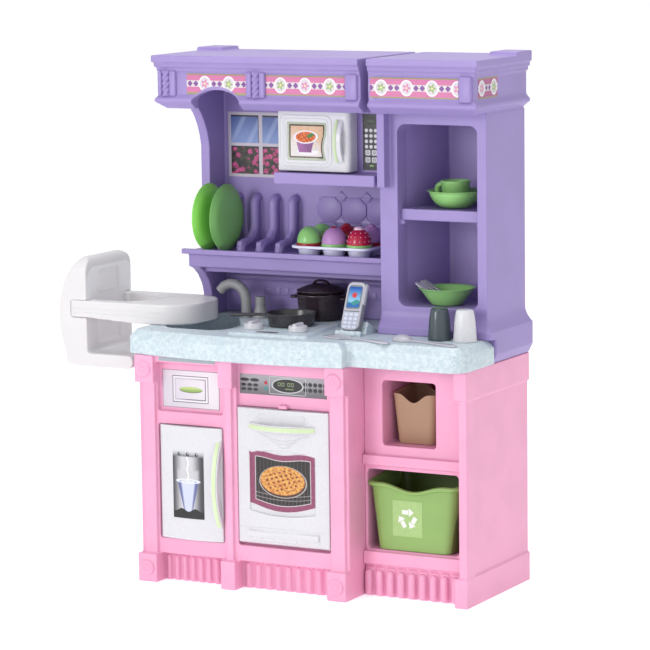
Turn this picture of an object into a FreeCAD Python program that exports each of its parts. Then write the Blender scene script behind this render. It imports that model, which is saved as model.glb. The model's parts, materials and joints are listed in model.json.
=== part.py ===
import FreeCAD, Part
import math
import operator
import os
import Sketcher
from types import SimpleNamespace

# A children's play kitchen: two lower cabinets, a worktop, a hutch and a tower, with doors,
# knobs, a tap, pans, dishes, bins and a doll's seat. All sizes are in millimetres.
# The origin is the middle of the cabinets' footprint on the floor, and the front faces -Y.

doc = FreeCAD.newDocument("PlayKitchen")
sheet = doc.addObject("Spreadsheet::Sheet", "dimensions")

dimensions = {
    # Lower cabinets
    "base_width": 704,
    "base_depth": 337,
    "base_height": 457,
    "foot_height": 57,
    "capital_height": 55,
    "side_setback": 4,
    "shaft_setback": 10.5,
    "frame_setback": 18.5,
    "face_setback": 28.5,
    "toe_setback": 41.5,
    "cabinet_split": 115,
    "corner_column_width": 42,
    "corner_shaft_left": 12,
    "corner_shaft_width": 27,
    "middle_column_left": -163,
    "middle_column_width": 32,
    "middle_shaft_width": 16,
    "split_column_width": 42,
    "split_shaft_width": 31,
    "rail_top": 89,
    "head_rail_height": 26,
    "apron_height": 13,
    "apron_depth": 20,
    "rosette_diameter": 30,
    "rosette_height": 2,
    "rosette_sides": 12,
    "flute_height": 5,
    "flute_gap": 2,
    "fridge_flutes": 8,
    "oven_flutes": 9,
    "right_flutes": 9,
    "cavity_wall": 11,
    "cavity_back": 45,
    # Right cabinet
    "right_face_setback": 84.5,
    "right_rail_depth": 10,
    "right_rail_bottom": 63,
    "middle_rail_bottom": 259,
    "middle_rail_height": 20,
    "end_column_width": 27,
    "end_column_setback": 46.5,
    "end_shaft_setback": 4,
    "end_shaft_left": 334,
    "end_shaft_width": 17,
    "bin_bay_left": 121,
    "bin_bay_width": 196,
    "bin_bay_bottom": 92,
    "bin_bay_height": 158,
    "bin_bay_depth": 205,
    "cubby_left": 155,
    "cubby_width": 115,
    "cubby_bottom": 298,
    "cubby_height": 127,
    "cubby_depth": 175,
    "bay_rounding": 8,
    # Doors
    "door_gap": 1,
    "hinge_gap": 2,
    "rebate_depth": 6,
    "pin_diameter": 5,
    "pin_length": 4,
    "pin_clearance": 0.05,
    "pin_end_clearance": 0.5,
    "fridge_door_height": 228,
    "fridge_door_thickness": 18,
    "fridge_door_bow": 7,
    "oven_door_bottom_gap": 5,
    "oven_door_height": 270,
    "oven_door_thickness": 20,
    "oven_door_bow": 5,
    "oven_barrel_diameter": 16,
    "oven_window_left": 27,
    "oven_window_width": 145,
    "oven_window_bottom": 68,
    "oven_window_height": 114,
    "oven_window_bow": 8,
    "oven_window_depth": 2,
    "oven_vents": 9,
    "oven_vent_width": 10,
    "oven_vent_height": 4,
    "oven_vent_pitch": 16,
    "oven_vent_bottom": 20,
    "door_panel_border": 12,
    "door_panel_depth": 3,
    "latch_width": 18,
    "latch_height": 8,
    "handle_thickness": 8,
    "handle_width": 14,
    "handle_foot": 14,
    "handle_root": 2,
    "fridge_handle_length": 188,
    "fridge_handle_reach": 24,
    "fridge_handle_bottom": 22,
    "oven_handle_length": 162,
    "oven_handle_reach": 24,
    "oven_handle_top": 42,
    "inlay_width": 8,
    "inlay_thickness": 1.8,
    "inlay_depth": 1,
    "inlay_end": 9,
    "inlay_clearance": 0.1,
    # Worktop
    "top_thickness": 48,
    "top_left": -379,
    "top_right": 357,
    "top_left_front": -157,
    "top_split_front": -172,
    "top_bow": 25,
    "top_step": 25,
    "top_overlap": 55,
    "top_corner": 34,
    "nose_bevel": 15,
    "tower_seam": 1.3,
    "basin_left": -328,
    "basin_width": 138,
    "basin_bend": -15,
    "basin_deck_x": -258,
    "basin_deck_y": 88,
    "basin_deck_rounding": 24,
    "basin_front": -105,
    "basin_length": 235,
    "basin_depth": 38,
    "basin_rounding": 34,
    "hob_left_front": -154,
    "hob_left_back": -184,
    "hob_right_front": 20,
    "hob_right_back": -17,
    "hob_front": -143,
    "hob_back": 142,
    "hob_height": 5,
    "hob_rounding": 16,
    "knob_left_x": -126,
    "knob_right_x": -27,
    "knob_y": -85,
    "knob_diameter": 40,
    "knob_height": 16,
    "knob_grip_width": 9,
    "knob_grip_height": 5,
    "knob_sides": 20,
    "knob_taper": 1.5,
    "knob_shaft_diameter": 8,
    "knob_shaft_length": 12,
    "turn_gap": 0.3,
    # Tap
    "tap_x": -235,
    "tap_y": 78,
    "tap_diameter": 19,
    "tap_bend": 32,
    "tap_rise": 36,
    "tap_sweep": 150,
    "tap_sides": 12,
    "tap_turns": 6,
    "valve_x": -208,
    "valve_y": 89,
    "valve_base_diameter": 33,
    "valve_base_height": 23,
    "valve_top_diameter": 20,
    "valve_height": 42,
    # Hutch
    "hutch_left": -340,
    "hutch_wall": 20,
    "hutch_right": 115.5,
    "back_wall": 18.5,
    "side_front": 87,
    "side_top_front": 38,
    "side_low_front": 37,
    "side_ogee": 9,
    "side_ogee_bottom": 850,
    "side_low_ogee_bottom": 550,
    "shelf_top": 640,
    "shelf_bead_rise": 6,
    "shelf_bead_height": 10,
    "shelf_bead_front": 26,
    "shelf_fascia_front": 37,
    "shelf_fascia_height": 31,
    "shelf_step_front": 62,
    "shelf_step_height": 12,
    "shelf_overhang": 15,
    "wall_bead_bottom": 574,
    "wall_bead_height": 8,
    "wall_bead_depth": 3,
    "tile_panel_border": 12,
    "tile_width": 52,
    "tile_height": 46,
    "tile_gap": 5,
    "tile_depth": 2,
    "tiles": 4,
    "rack_first": -155,
    "rack_pitch": 44,
    "rack_ribs": 4,
    "rack_width": 13,
    "rack_front": 127,
    "rack_floor_front": 68,
    "rack_floor_height": 22,
    "rack_height": 106,
    "rack_rounding": 5,
    "oven_shelf_bottom": 792,
    "oven_shelf_height": 22,
    "oven_shelf_front": -30,
    "housing_left": -107,
    "housing_front": 19,
    "niche_left": 12,
    "niche_width": 140,
    "niche_bottom": 825,
    "niche_height": 100,
    "niche_depth": 126,
    # Cornice
    "canopy_bottom": 937,
    "canopy_low_front": -60,
    "canopy_lip_front": -78,
    "canopy_lip_bottom": 951,
    "canopy_lip_top": 957,
    "frieze_bottom": 966,
    "frieze_top": 1011,
    "frieze_front": -70,
    "cornice_step": 4,
    "cornice_rise": 9,
    "cornice_top": 1043,
    "cornice_left_end": 108,
    "cornice_right_end": 126,
    "side_step": 4,
    "arch_left": -264,
    "arch_width": 107,
    "arch_spring": 956,
    "arch_rise": 20,
    "canopy_board": 20,
    "canopy_hollow_top": 985,
    "pilaster_depth": 2.5,
    "pilaster_corner": 39,
    "pilaster_middle": -137,
    "pilaster_middle_width": 34,
    "pilaster_split": 77,
    "pilaster_split_width": 26,
    "pilaster_tower": 25,
    "ear_width": 58,
    "ear_length": 70,
    "ear_height": 7,
    # Play oven door
    "play_door_width": 161,
    "play_door_bottom": 817,
    "play_door_height": 119,
    "play_door_thickness": 36,
    "play_door_rounding": 10,
    "play_pin_inset": 12,
    "play_handle_length": 92,
    "play_handle_reach": 15,
    "play_handle_inset": 12,
    "play_window_left": 20,
    "play_window_width": 82,
    "play_window_height": 76,
    "play_window_corner": 6,
    # Tower
    "tower_right": 344,
    "tower_gap": 0.5,
    "tower_foot_front": -1.7,
    "tower_slant_start": 40,
    "tower_front": -8,
    "tower_opening_left": 154,
    "tower_opening_width": 170,
    "tower_opening_bottom": 560,
    "tower_opening_height": 354,
    "tower_opening_rounding": 18,
    "tower_opening_depth": 158,
    "tower_corner_slant": 36,
    "skirt_front": -24,
    "skirt_right": 360,
    "skirt_top": 548,
    "skirt_shoulder": 520,
    "skirt_flare": 3,
    "skirt_hem": 475,
    "skirt_foot_right": 351,
    "strip_left": 121,
    "strip_width": 17,
    "strip_depth": 24,
    "slat_shelf_top": 749,
    "slat_shelf_height": 22,
    "slat_shelf_front": 5,
    "slat_shelf_lip": 10,
    "slats": 12,
    "slat_pitch": 11,
    "slot_left": 182,
    "slot_length": 85,
    "slot_width": 5,
    "shelf_bearer": 8,
    "shelf_bearer_height": 8,
    "shelf_gap": 0.4,
    # Dishes and pans
    "rest_gap": 0.3,
    "dish_sides": 20,
    "plate_diameter": 138,
    "plate_thickness": 12,
    "plate_front_x": -309,
    "plate_rear_x": -268,
    "plate_y": 70,
    "plate_rim": 14,
    "plate_wall": 3,
    "bowl_rim_diameter": 114,
    "bowl_foot_diameter": 56,
    "bowl_height": 34,
    "bowl_wall": 2.5,
    "upper_bowl_x": 245,
    "upper_bowl_y": 62,
    "lower_bowl_x": 232,
    "lower_bowl_y": 48,
    "cup_diameter": 60,
    "cup_foot_diameter": 44,
    "cup_height": 50,
    "cup_wall": 2.5,
    "cup_handle_reach": 14,
    "cup_handle_rise": 8,
    "cup_handle_height": 26,
    "cup_handle_width": 9,
    "cup_handle_thickness": 5,
    "pot_x": -66,
    "pot_y": 86,
    "pot_diameter": 102,
    "pot_foot_diameter": 84,
    "pot_height": 53,
    "pot_wall": 3,
    "pot_ear_reach": 16,
    "pot_ear_width": 44,
    "pot_ear_thickness": 6,
    "pot_ear_drop": 8,
    "lid_rim_height": 4,
    "lid_height": 15,
    "lid_top_diameter": 46,
    "lid_loop_width": 32,
    "lid_loop_height": 12,
    "lid_loop_thickness": 5,
    "lid_loop_depth": 9,
    "pan_x": -78,
    "pan_y": -19,
    "pan_diameter": 100,
    "pan_foot_diameter": 88,
    "pan_height": 27,
    "pan_wall": 3,
    "pan_handle_length": 72,
    "pan_handle_width": 15,
    "pan_handle_thickness": 8,
    "pan_handle_angle": 207,
    "pan_handle_rounding": 6,
    "tumbler_rim_diameter": 47,
    "tumbler_foot_diameter": 31,
    "tumbler_height": 62,
    "tumbler_wall": 2,
    "white_tumbler_x": 316,
    "white_tumbler_y": -48.5,
    "dark_tumbler_x": 262,
    "dark_tumbler_y": -48.5,
    # Utensils
    "utensil_thickness": 4,
    "utensil_grip_width": 13,
    "utensil_neck_width": 7,
    "utensil_grip_length": 56,
    "utensil_length": 136,
    "utensil_rounding": 5,
    "utensil_shoulder": 10,
    "spatula_x": 66,
    "spatula_y": -100,
    "spatula_blade_length": 46,
    "spatula_blade_width": 40,
    "spatula_slots": 3,
    "spatula_slot_width": 4,
    "spatula_slot_pitch": 10,
    "serving_spoon_x": 202,
    "serving_spoon_y": -88,
    "serving_bowl_length": 46,
    "serving_bowl_width": 34,
    "serving_length": 136,
    "spoon_rim": 4,
    "spoon_sides": 12,
    "spoon_end_rounding": 5,
    "utensil_angle": -15.8,
    "cutlery_length": 82,
    "cutlery_head_length": 28,
    "cutlery_head_width": 19,
    "cutlery_neck_width": 6,
    "cutlery_grip_width": 10,
    "cutlery_thickness": 3,
    "cutlery_rounding": 3,
    "cutlery_spacing": 16.5,
    "cutlery_rim_gap": 1.4,
    "cutlery_start": 12,
    "fork_tine": 3.4,
    "fork_gap": 3,
    # Telephone
    "phone_x": 76,
    "phone_y": -62,
    "phone_width": 44,
    "phone_thickness": 20,
    "phone_length": 102,
    "phone_lean": 24,
    "phone_corner": 6,
    "phone_screen_length": 26,
    "phone_screen_width": 30,
    "phone_screen_depth": 1.2,
    "phone_screen_top": 14,
    "phone_key_bottom": 9,
    "phone_key_size": 7,
    "phone_key_pitch": 11,
    "phone_key_rows": 4,
    "phone_seat_height": 6,
    "cradle_left": 48,
    "cradle_width": 56,
    "cradle_front": -75,
    "cradle_length": 77,
    "cradle_height": 26,
    "cradle_lip": 5,
    "cradle_clearance": 0.6,
    # Baking tray
    "tray_left": -115,
    "tray_front": 37,
    "tray_pitch": 58,
    "tray_side_margin": 32,
    "tray_end_margin": 27,
    "tray_corner": 8,
    "tray_height": 22,
    "tray_cup_diameter": 46,
    "tray_cup_depth": 14,
    "cake_sides": 12,
    "cake_diameter": 49,
    "cake_liner_height": 20,
    "cake_height": 54,
    "cake_top_diameter": 22,
    "cake_crown_bevel": 5,
    "cake_clearance": 0.5,
    "cake_liner_flare": 5,
    # Bins
    "paper_bin_left": 162,
    "paper_bin_width": 96,
    "paper_bin_front": -60,
    "paper_bin_length": 110,
    "paper_bin_height": 106,
    "paper_bin_taper": 8,
    "paper_bin_wall": 2.5,
    "paper_bin_scoop": 16,
    "paper_bin_corner": 8,
    "crate_rim_width": 200,
    "crate_rim_thickness": 5,
    "crate_width": 184,
    "crate_taper": 12,
    "crate_length": 150,
    "crate_height": 148,
    "crate_wall": 3,
    "crate_dip": 10,
    "crate_corner": 14,
    "crate_front_gap": 0.6,
    "crate_floor_gap": 0.5,
    # Doll's seat
    "seat_front": -90,
    "seat_width": 176,
    "seat_bottom": 412,
    "seat_top": 633,
    "seat_back_foot": -563,
    "seat_back_top": -532,
    "seat_rest": -511,
    "seat_crown_rounding": 14,
    "seat_back_bow": 28,
    "seat_pan_front": -404,
    "seat_pan_thickness": 27,
    "seat_pan_rounding": 12,
    "seat_top_rounding": 32,
    "seat_panel_border": 48,
    "seat_panel_depth": 2,
    "seat_panel_bottom": 456,
    "seat_panel_top": 600,
    "tray_ring_left": -549,
    "tray_ring_right": -276,
    "tray_ring_top": 546,
    "tray_arm_bottom": 511,
    "tray_arm_width": 27,
    "tray_hole_right": -402,
    "tray_hole_rounding": 48,
    "tray_end_rounding": 70,
    "tray_edge": 6,
    "tray_recess": 2,
}


class Size:
    # A value together with the spreadsheet formula that it comes from
    def __init__(self, value, formula):
        self.value = value
        self.formula = formula

    def __add__(self, other):
        return combine(self, "+", other)

    def __radd__(self, other):
        return combine(other, "+", self)

    def __sub__(self, other):
        return combine(self, "-", other)

    def __rsub__(self, other):
        return combine(other, "-", self)

    def __mul__(self, other):
        return combine(self, "*", other)

    def __rmul__(self, other):
        return combine(other, "*", self)

    def __truediv__(self, other):
        return combine(self, "/", other)

    def __rtruediv__(self, other):
        return combine(other, "/", self)

    def __neg__(self):
        return combine(0, "-", self)


operations = {"+": operator.add, "-": operator.sub, "*": operator.mul, "/": operator.truediv}


def as_size(quantity):
    if isinstance(quantity, Size):
        return quantity
    return Size(float(quantity), f"({quantity})")


def combine(left, sign, right):
    left = as_size(left)
    right = as_size(right)
    value = operations[sign](left.value, right.value)
    return Size(value, f"({left.formula} {sign} {right.formula})")


def root(quantity):
    return Size(math.sqrt(quantity.value), f"sqrt({quantity.formula})")


def sine(angle):
    return Size(math.sin(math.radians(angle.value)), f"sin({angle.formula})")


def cosine(angle):
    return Size(math.cos(math.radians(angle.value)), f"cos({angle.formula})")


def arctangent(ratio):
    return Size(math.degrees(math.atan(ratio.value)), f"atan({ratio.formula})")


def enter_dimensions():
    # Each driving dimension is a cell with its own alias
    named = {}
    for row, (alias, value) in enumerate(dimensions.items(), start=1):
        sheet.set(f"A{row}", alias)
        sheet.set(f"B{row}", str(value))
        sheet.setAlias(f"B{row}", alias)
        named[alias] = Size(float(value), f"dimensions.{alias}")
    doc.recompute()
    return SimpleNamespace(**named)


size = enter_dimensions()


def bind(thing, name, quantity):
    thing.setExpression(name, as_size(quantity).formula)


class Bow:
    # Turns the side between two corners into an arc that bulges outwards by the sagitta
    def __init__(self, sagitta):
        self.sagitta = as_size(sagitta)


class Ring:
    # A circular outline
    def __init__(self, x, y, diameter):
        self.x = as_size(x)
        self.y = as_size(y)
        self.diameter = as_size(diameter)


class Polygon:
    # An even outline whose corners lie on a circle
    def __init__(self, x, y, diameter, sides):
        self.x = as_size(x)
        self.y = as_size(y)
        self.diameter = as_size(diameter)
        self.sides = int(as_size(sides).value)


def cut_rectangle(left, right, low, high, cut):
    # A rectangle whose corners are cut off at 45 degrees
    return [
        (left + cut, low), (right - cut, low), (right, low + cut), (right, high - cut),
        (right - cut, high), (left + cut, high), (left, high - cut), (left, low + cut)]


def rectangle(left, right, low, high, rounding=0):
    return [(left, low, rounding), (right, low, rounding), (right, high, rounding), (left, high, rounding)]


def fix_point(sketch, geometry, position, x, y):
    across = sketch.addConstraint(Sketcher.Constraint("DistanceX", -1, 1, geometry, position, x.value))
    bind(sketch, f"Constraints[{across}]", x)
    along = sketch.addConstraint(Sketcher.Constraint("DistanceY", -1, 1, geometry, position, y.value))
    bind(sketch, f"Constraints[{along}]", y)


def fix_radius(sketch, geometry, radius):
    index = sketch.addConstraint(Sketcher.Constraint("Radius", geometry, radius.value))
    bind(sketch, f"Constraints[{index}]", radius)


def arc_between(start, end, centre, turns_left):
    # Sketch arcs run anticlockwise, so one that turns right is drawn from its end
    radius = (start - centre).Length
    circle = Part.Circle(centre, FreeCAD.Vector(0, 0, 1), radius)
    first = start if turns_left else end
    last = end if turns_left else start
    begins = math.atan2(first.y - centre.y, first.x - centre.x)
    ends = math.atan2(last.y - centre.y, last.x - centre.x)
    if ends <= begins:
        ends += 2 * math.pi
    return Part.ArcOfCircle(circle, begins, ends)


def draw_bow(sketch, near, far):
    # The arc from one corner to the next; a negative sagitta bulges inwards
    sagitta = near.bow
    depth = sagitta if sagitta.value > 0 else -sagitta
    span = far.x - near.x
    rise = far.y - near.y
    radius = ((span * span + rise * rise) / 4 + depth * depth) / (2 * depth)
    chord = far.point - near.point
    inward = FreeCAD.Vector(-chord.y, chord.x, 0).normalize()
    if sagitta.value < 0:
        inward = -inward
    centre = (near.point + far.point) * 0.5 + inward * (radius.value - depth.value)
    arc = sketch.addGeometry(arc_between(near.point, far.point, centre, sagitta.value > 0), False)
    fix_radius(sketch, arc, radius)
    return arc


def draw_rounding(sketch, corner, before, after):
    arriving = (corner.point - before.point).normalize()
    leaving = (after.point - corner.point).normalize()
    turn = arriving.getAngle(leaving)
    reach = corner.rounding.value * math.tan(turn / 2)
    start = corner.point - arriving * reach
    end = corner.point + leaving * reach
    turns_left = arriving.cross(leaving).z > 0
    inward = FreeCAD.Vector(-arriving.y, arriving.x, 0)
    if not turns_left:
        inward = -inward
    centre = start + inward * corner.rounding.value
    corner.start = start
    corner.end = end
    corner.arc = sketch.addGeometry(arc_between(start, end, centre, turns_left), False)
    corner.arc_start = 1 if turns_left else 2
    corner.arc_end = 2 if turns_left else 1
    fix_radius(sketch, corner.arc, corner.rounding)


def read_corners(outline):
    corners = []
    for entry in outline:
        if isinstance(entry, Bow):
            corners[-1].bow = entry.sagitta
            continue
        x = as_size(entry[0])
        y = as_size(entry[1])
        rounding = as_size(entry[2]) if len(entry) > 2 else as_size(0)
        point = FreeCAD.Vector(x.value, y.value, 0)
        corners.append(SimpleNamespace(x=x, y=y, rounding=rounding, point=point, bow=None, arc=None))
    return corners


def draw_outline(sketch, outline):
    # A closed outline, anticlockwise, of straight sides, arcs and rounded corners
    corners = read_corners(outline)
    count = len(corners)
    for number, corner in enumerate(corners):
        corner.start = corner.point
        corner.end = corner.point
        if corner.rounding.value > 0:
            draw_rounding(sketch, corner, corners[number - 1], corners[(number + 1) % count])
    for number, corner in enumerate(corners):
        after = corners[(number + 1) % count]
        if corner.bow is None:
            corner.side = sketch.addGeometry(Part.LineSegment(corner.end, after.start), False)
            corner.side_start = 1
            corner.side_end = 2
        else:
            corner.side = draw_bow(sketch, corner, after)
            corner.side_start = 1 if corner.bow.value > 0 else 2
            corner.side_end = 3 - corner.side_start
    for number, corner in enumerate(corners):
        before = corners[number - 1]
        if corner.arc is None:
            sketch.addConstraint(Sketcher.Constraint(
                "Coincident", before.side, before.side_end, corner.side, corner.side_start))
            fix_point(sketch, corner.side, corner.side_start, corner.x, corner.y)
            continue
        tip = sketch.addGeometry(Part.Point(corner.point), True)
        fix_point(sketch, tip, 1, corner.x, corner.y)
        sketch.addConstraint([
            Sketcher.Constraint("PointOnObject", tip, 1, before.side),
            Sketcher.Constraint("PointOnObject", tip, 1, corner.side),
            Sketcher.Constraint("Tangent", before.side, before.side_end, corner.arc, corner.arc_start),
            Sketcher.Constraint("Tangent", corner.side, corner.side_start, corner.arc, corner.arc_end),
        ])


def draw_ring(sketch, ring):
    centre = FreeCAD.Vector(ring.x.value, ring.y.value, 0)
    circle = Part.Circle(centre, FreeCAD.Vector(0, 0, 1), ring.diameter.value / 2)
    geometry = sketch.addGeometry(circle, False)
    fix_point(sketch, geometry, 3, ring.x, ring.y)
    fix_radius(sketch, geometry, ring.diameter / 2)


def draw_polygon(sketch, polygon):
    centre = FreeCAD.Vector(polygon.x.value, polygon.y.value, 0)
    radius = polygon.diameter.value / 2
    circle = sketch.addGeometry(Part.Circle(centre, FreeCAD.Vector(0, 0, 1), radius), True)
    fix_point(sketch, circle, 3, polygon.x, polygon.y)
    fix_radius(sketch, circle, polygon.diameter / 2)
    corners = []
    for number in range(polygon.sides):
        angle = 2 * math.pi * (number + 0.5) / polygon.sides
        corners.append(centre + FreeCAD.Vector(radius * math.cos(angle), radius * math.sin(angle), 0))
    sides = [
        sketch.addGeometry(Part.LineSegment(corners[number - 1], corner), False)
        for number, corner in enumerate(corners)]
    sketch.addConstraint(Sketcher.Constraint("Vertical", sides[0]))
    for number, side in enumerate(sides):
        sketch.addConstraint([
            Sketcher.Constraint("Coincident", sides[number - 1], 2, side, 1),
            Sketcher.Constraint("PointOnObject", side, 1, circle),
        ])
        if number > 0:
            sketch.addConstraint(Sketcher.Constraint("Equal", sides[0], side))


sub_parts = {}


def is_upright(face):
    return abs(face.normalAt(0, 0).z) < 0.001


class Moulding:
    # One sub-part: a body that grows by pads, leans by tapers and is cut by pockets
    def __init__(self, label):
        self.body = doc.addObject("PartDesign::Body", label)
        self.body.Label = label
        sub_parts[label] = self.body

    def origin_feature(self, role):
        for feature in self.body.Origin.OriginFeatures:
            if feature.Role == role:
                return feature

    def sketch(self, plane, level, outline):
        # The XZ plane of a body looks towards -Y, so its offset is turned round
        drawing = self.body.newObject("Sketcher::SketchObject", "Sketch")
        drawing.AttachmentSupport = [(self.origin_feature(f"{plane}_Plane"), "")]
        drawing.MapMode = "FlatFace"
        bind(drawing, "AttachmentOffset.Base.z", -as_size(level) if plane == "XZ" else level)
        if isinstance(outline, Ring):
            draw_ring(drawing, outline)
        elif isinstance(outline, Polygon):
            draw_polygon(drawing, outline)
        else:
            draw_outline(drawing, outline)
        return drawing

    def pad(self, plane, low, high, outline):
        profile = self.sketch(plane, high if plane == "XZ" else low, outline)
        feature = self.body.newObject("PartDesign::Pad", "Pad")
        feature.Profile = profile
        bind(feature, "Length", as_size(high) - low)
        return feature

    def pocket(self, plane, low, high, outline):
        profile = self.sketch(plane, low if plane == "XZ" else high, outline)
        feature = self.body.newObject("PartDesign::Pocket", "Pocket")
        feature.Profile = profile
        bind(feature, "Length", as_size(high) - low)
        return feature

    def block(self, x, y, z):
        return self.pad("XY", z[0], z[1], rectangle(x[0], x[1], y[0], y[1]))

    def recess(self, x, y, z, rounding=0):
        return self.pocket("XZ", y[0], y[1], rectangle(x[0], x[1], z[0], z[1], rounding))

    def taper(self, angle, widens, wanted=is_upright):
        # Leans upright faces about the body's floor, so that they widen or narrow upwards
        doc.recompute()
        base = self.body.Tip
        names = [f"Face{number}" for number, face in enumerate(base.Shape.Faces, start=1) if wanted(face)]
        feature = self.body.newObject("PartDesign::Draft", "Taper")
        feature.Base = (base, names)
        feature.NeutralPlane = (self.origin_feature("XY_Plane"), [""])
        feature.Reversed = widens
        bind(feature, "Angle", angle)
        return feature

    def bevel_edges(self, width, wanted):
        doc.recompute()
        base = self.body.Tip
        names = [f"Edge{number}" for number, edge in enumerate(base.Shape.Edges, start=1) if wanted(edge)]
        feature = self.body.newObject("PartDesign::Chamfer", "Bevel")
        feature.Base = (base, names)
        bind(feature, "Size", width)
        return feature

    def repeat(self, feature, axis, pitch, count):
        pattern = self.body.newObject("PartDesign::LinearPattern", "Row")
        pattern.Originals = [feature]
        pattern.Direction = (self.origin_feature(f"{axis}_Axis"), [""])
        pattern.Mode = "Spacing"
        bind(pattern, "Offset", pitch)
        bind(pattern, "Occurrences", count)
        self.body.Tip = pattern
        return pattern

    def round_edges(self, radius, wanted):
        doc.recompute()
        base = self.body.Tip
        names = [f"Edge{number}" for number, edge in enumerate(base.Shape.Edges, start=1) if wanted(edge)]
        feature = self.body.newObject("PartDesign::Fillet", "Rounding")
        feature.Base = (base, names)
        bind(feature, "Radius", radius)
        return feature

    def stand(self, x, y, z, axis=(0, 0, 1), angle=0):
        turned = FreeCAD.Rotation(FreeCAD.Vector(*axis), 0)
        self.body.Placement = FreeCAD.Placement(FreeCAD.Vector(0, 0, 0), turned)
        bind(self.body, "Placement.Base.x", x)
        bind(self.body, "Placement.Base.y", y)
        bind(self.body, "Placement.Base.z", z)
        if as_size(angle).value != 0:
            bind(self.body, "Placement.Rotation.Angle", angle)
            bind(self.body, "Placement.Rotation.Axis.x", axis[0])
            bind(self.body, "Placement.Rotation.Axis.y", axis[1])
            bind(self.body, "Placement.Rotation.Axis.z", axis[2])


# Planes and edges that several sub-parts share
left = -size.base_width / 2
right = size.base_width / 2
front = -size.base_depth / 2
back = size.base_depth / 2
shaft_front = front + size.shaft_setback
frame_front = front + size.frame_setback
face_front = front + size.face_setback
toe_front = front + size.toe_setback
capital_bottom = size.base_height - size.capital_height
corner_column = (left, left + size.corner_column_width)
middle_column = (size.middle_column_left, size.middle_column_left + size.middle_column_width)
split_column = (size.cabinet_split - size.split_column_width, size.cabinet_split)
fridge_bay = (corner_column[1], middle_column[0])
oven_bay = (middle_column[1], split_column[0])
rebate_back = face_front + size.rebate_depth
door_back = rebate_back - size.door_gap
hole_diameter = size.pin_diameter + 2 * size.pin_clearance
hole_depth = size.pin_length + size.pin_end_clearance

fridge_door_bottom = size.rail_top + size.door_gap
fridge_door_top = fridge_door_bottom + size.fridge_door_height
fridge_opening_top = fridge_door_top + size.door_gap
fridge_pin_x = fridge_bay[0] + size.hinge_gap + size.fridge_door_thickness / 2
fridge_pin_y = door_back - size.fridge_door_thickness / 2

oven_door_bottom = size.rail_top + size.oven_door_bottom_gap
oven_door_top = oven_door_bottom + size.oven_door_height
oven_opening_top = oven_door_top + size.door_gap
oven_pin_y = door_back - size.oven_barrel_diameter / 2
oven_pin_z = oven_door_bottom + size.oven_barrel_diameter / 2

right_face = front + size.right_face_setback
end_column = (right - size.end_column_width, right)
end_column_front = front + size.end_column_setback
bin_bay_right = size.bin_bay_left + size.bin_bay_width
cubby_right = size.cubby_left + size.cubby_width

counter = size.base_height + size.top_thickness
hob = counter + size.hob_height
tower_left = size.hutch_right + size.tower_gap
canopy_overhang = 3 * size.cornice_step
ledge_top = size.oven_shelf_bottom + size.oven_shelf_height
play_door_left = size.housing_left + size.door_gap
play_door_back = size.housing_front - size.door_gap
play_door_top = size.play_door_bottom + size.play_door_height
play_pin_x = play_door_left + size.play_pin_inset
play_pin_y = play_door_back - size.play_pin_inset
tower_opening_right = size.tower_opening_left + size.tower_opening_width
tower_opening_back = size.tower_front + size.tower_opening_depth


def centre(span):
    return (span[0] + span[1]) / 2


def rosette(piece, column, low, high, face):
    # Two stepped discs on a column's square block
    x = centre(column)
    z = (low + high) / 2
    sides = size.rosette_sides
    piece.pad("XZ", face - size.rosette_height, face, Polygon(x, z, size.rosette_diameter, sides))
    piece.pad("XZ", face - 2 * size.rosette_height, face, Polygon(x, z, size.rosette_diameter / 2, sides))


def column(piece, span, shaft, block_front, shaft_face, reach):
    # A square column: a shaft between its foot block and its capital
    piece.block(span, (block_front, reach), (0, size.foot_height))
    piece.block(span, (block_front, reach), (capital_bottom, size.base_height))
    piece.block(shaft, (shaft_face, reach), (size.foot_height, capital_bottom))


def flutes(piece, start, end, count, face):
    # A row of upright ribs with bevelled sides along the toe kick
    pitch = (end - start) / count
    rib_end = start + pitch - size.flute_gap
    crest = face - size.flute_height
    slope = size.flute_height * 2 / 3
    rib = piece.pad("XY", 0, size.foot_height, [
        (start, face), (start + slope, crest), (rib_end - slope, crest), (rib_end, face),
        (rib_end, face + 1), (start, face + 1)])
    piece.repeat(rib, "X", pitch, count)


def side_bands(piece, span, block_front):
    # The foot and the capital run on along the cabinet's side
    piece.block(span, (block_front, back), (0, size.foot_height))
    piece.block(span, (block_front, back), (capital_bottom, size.base_height))


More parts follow.
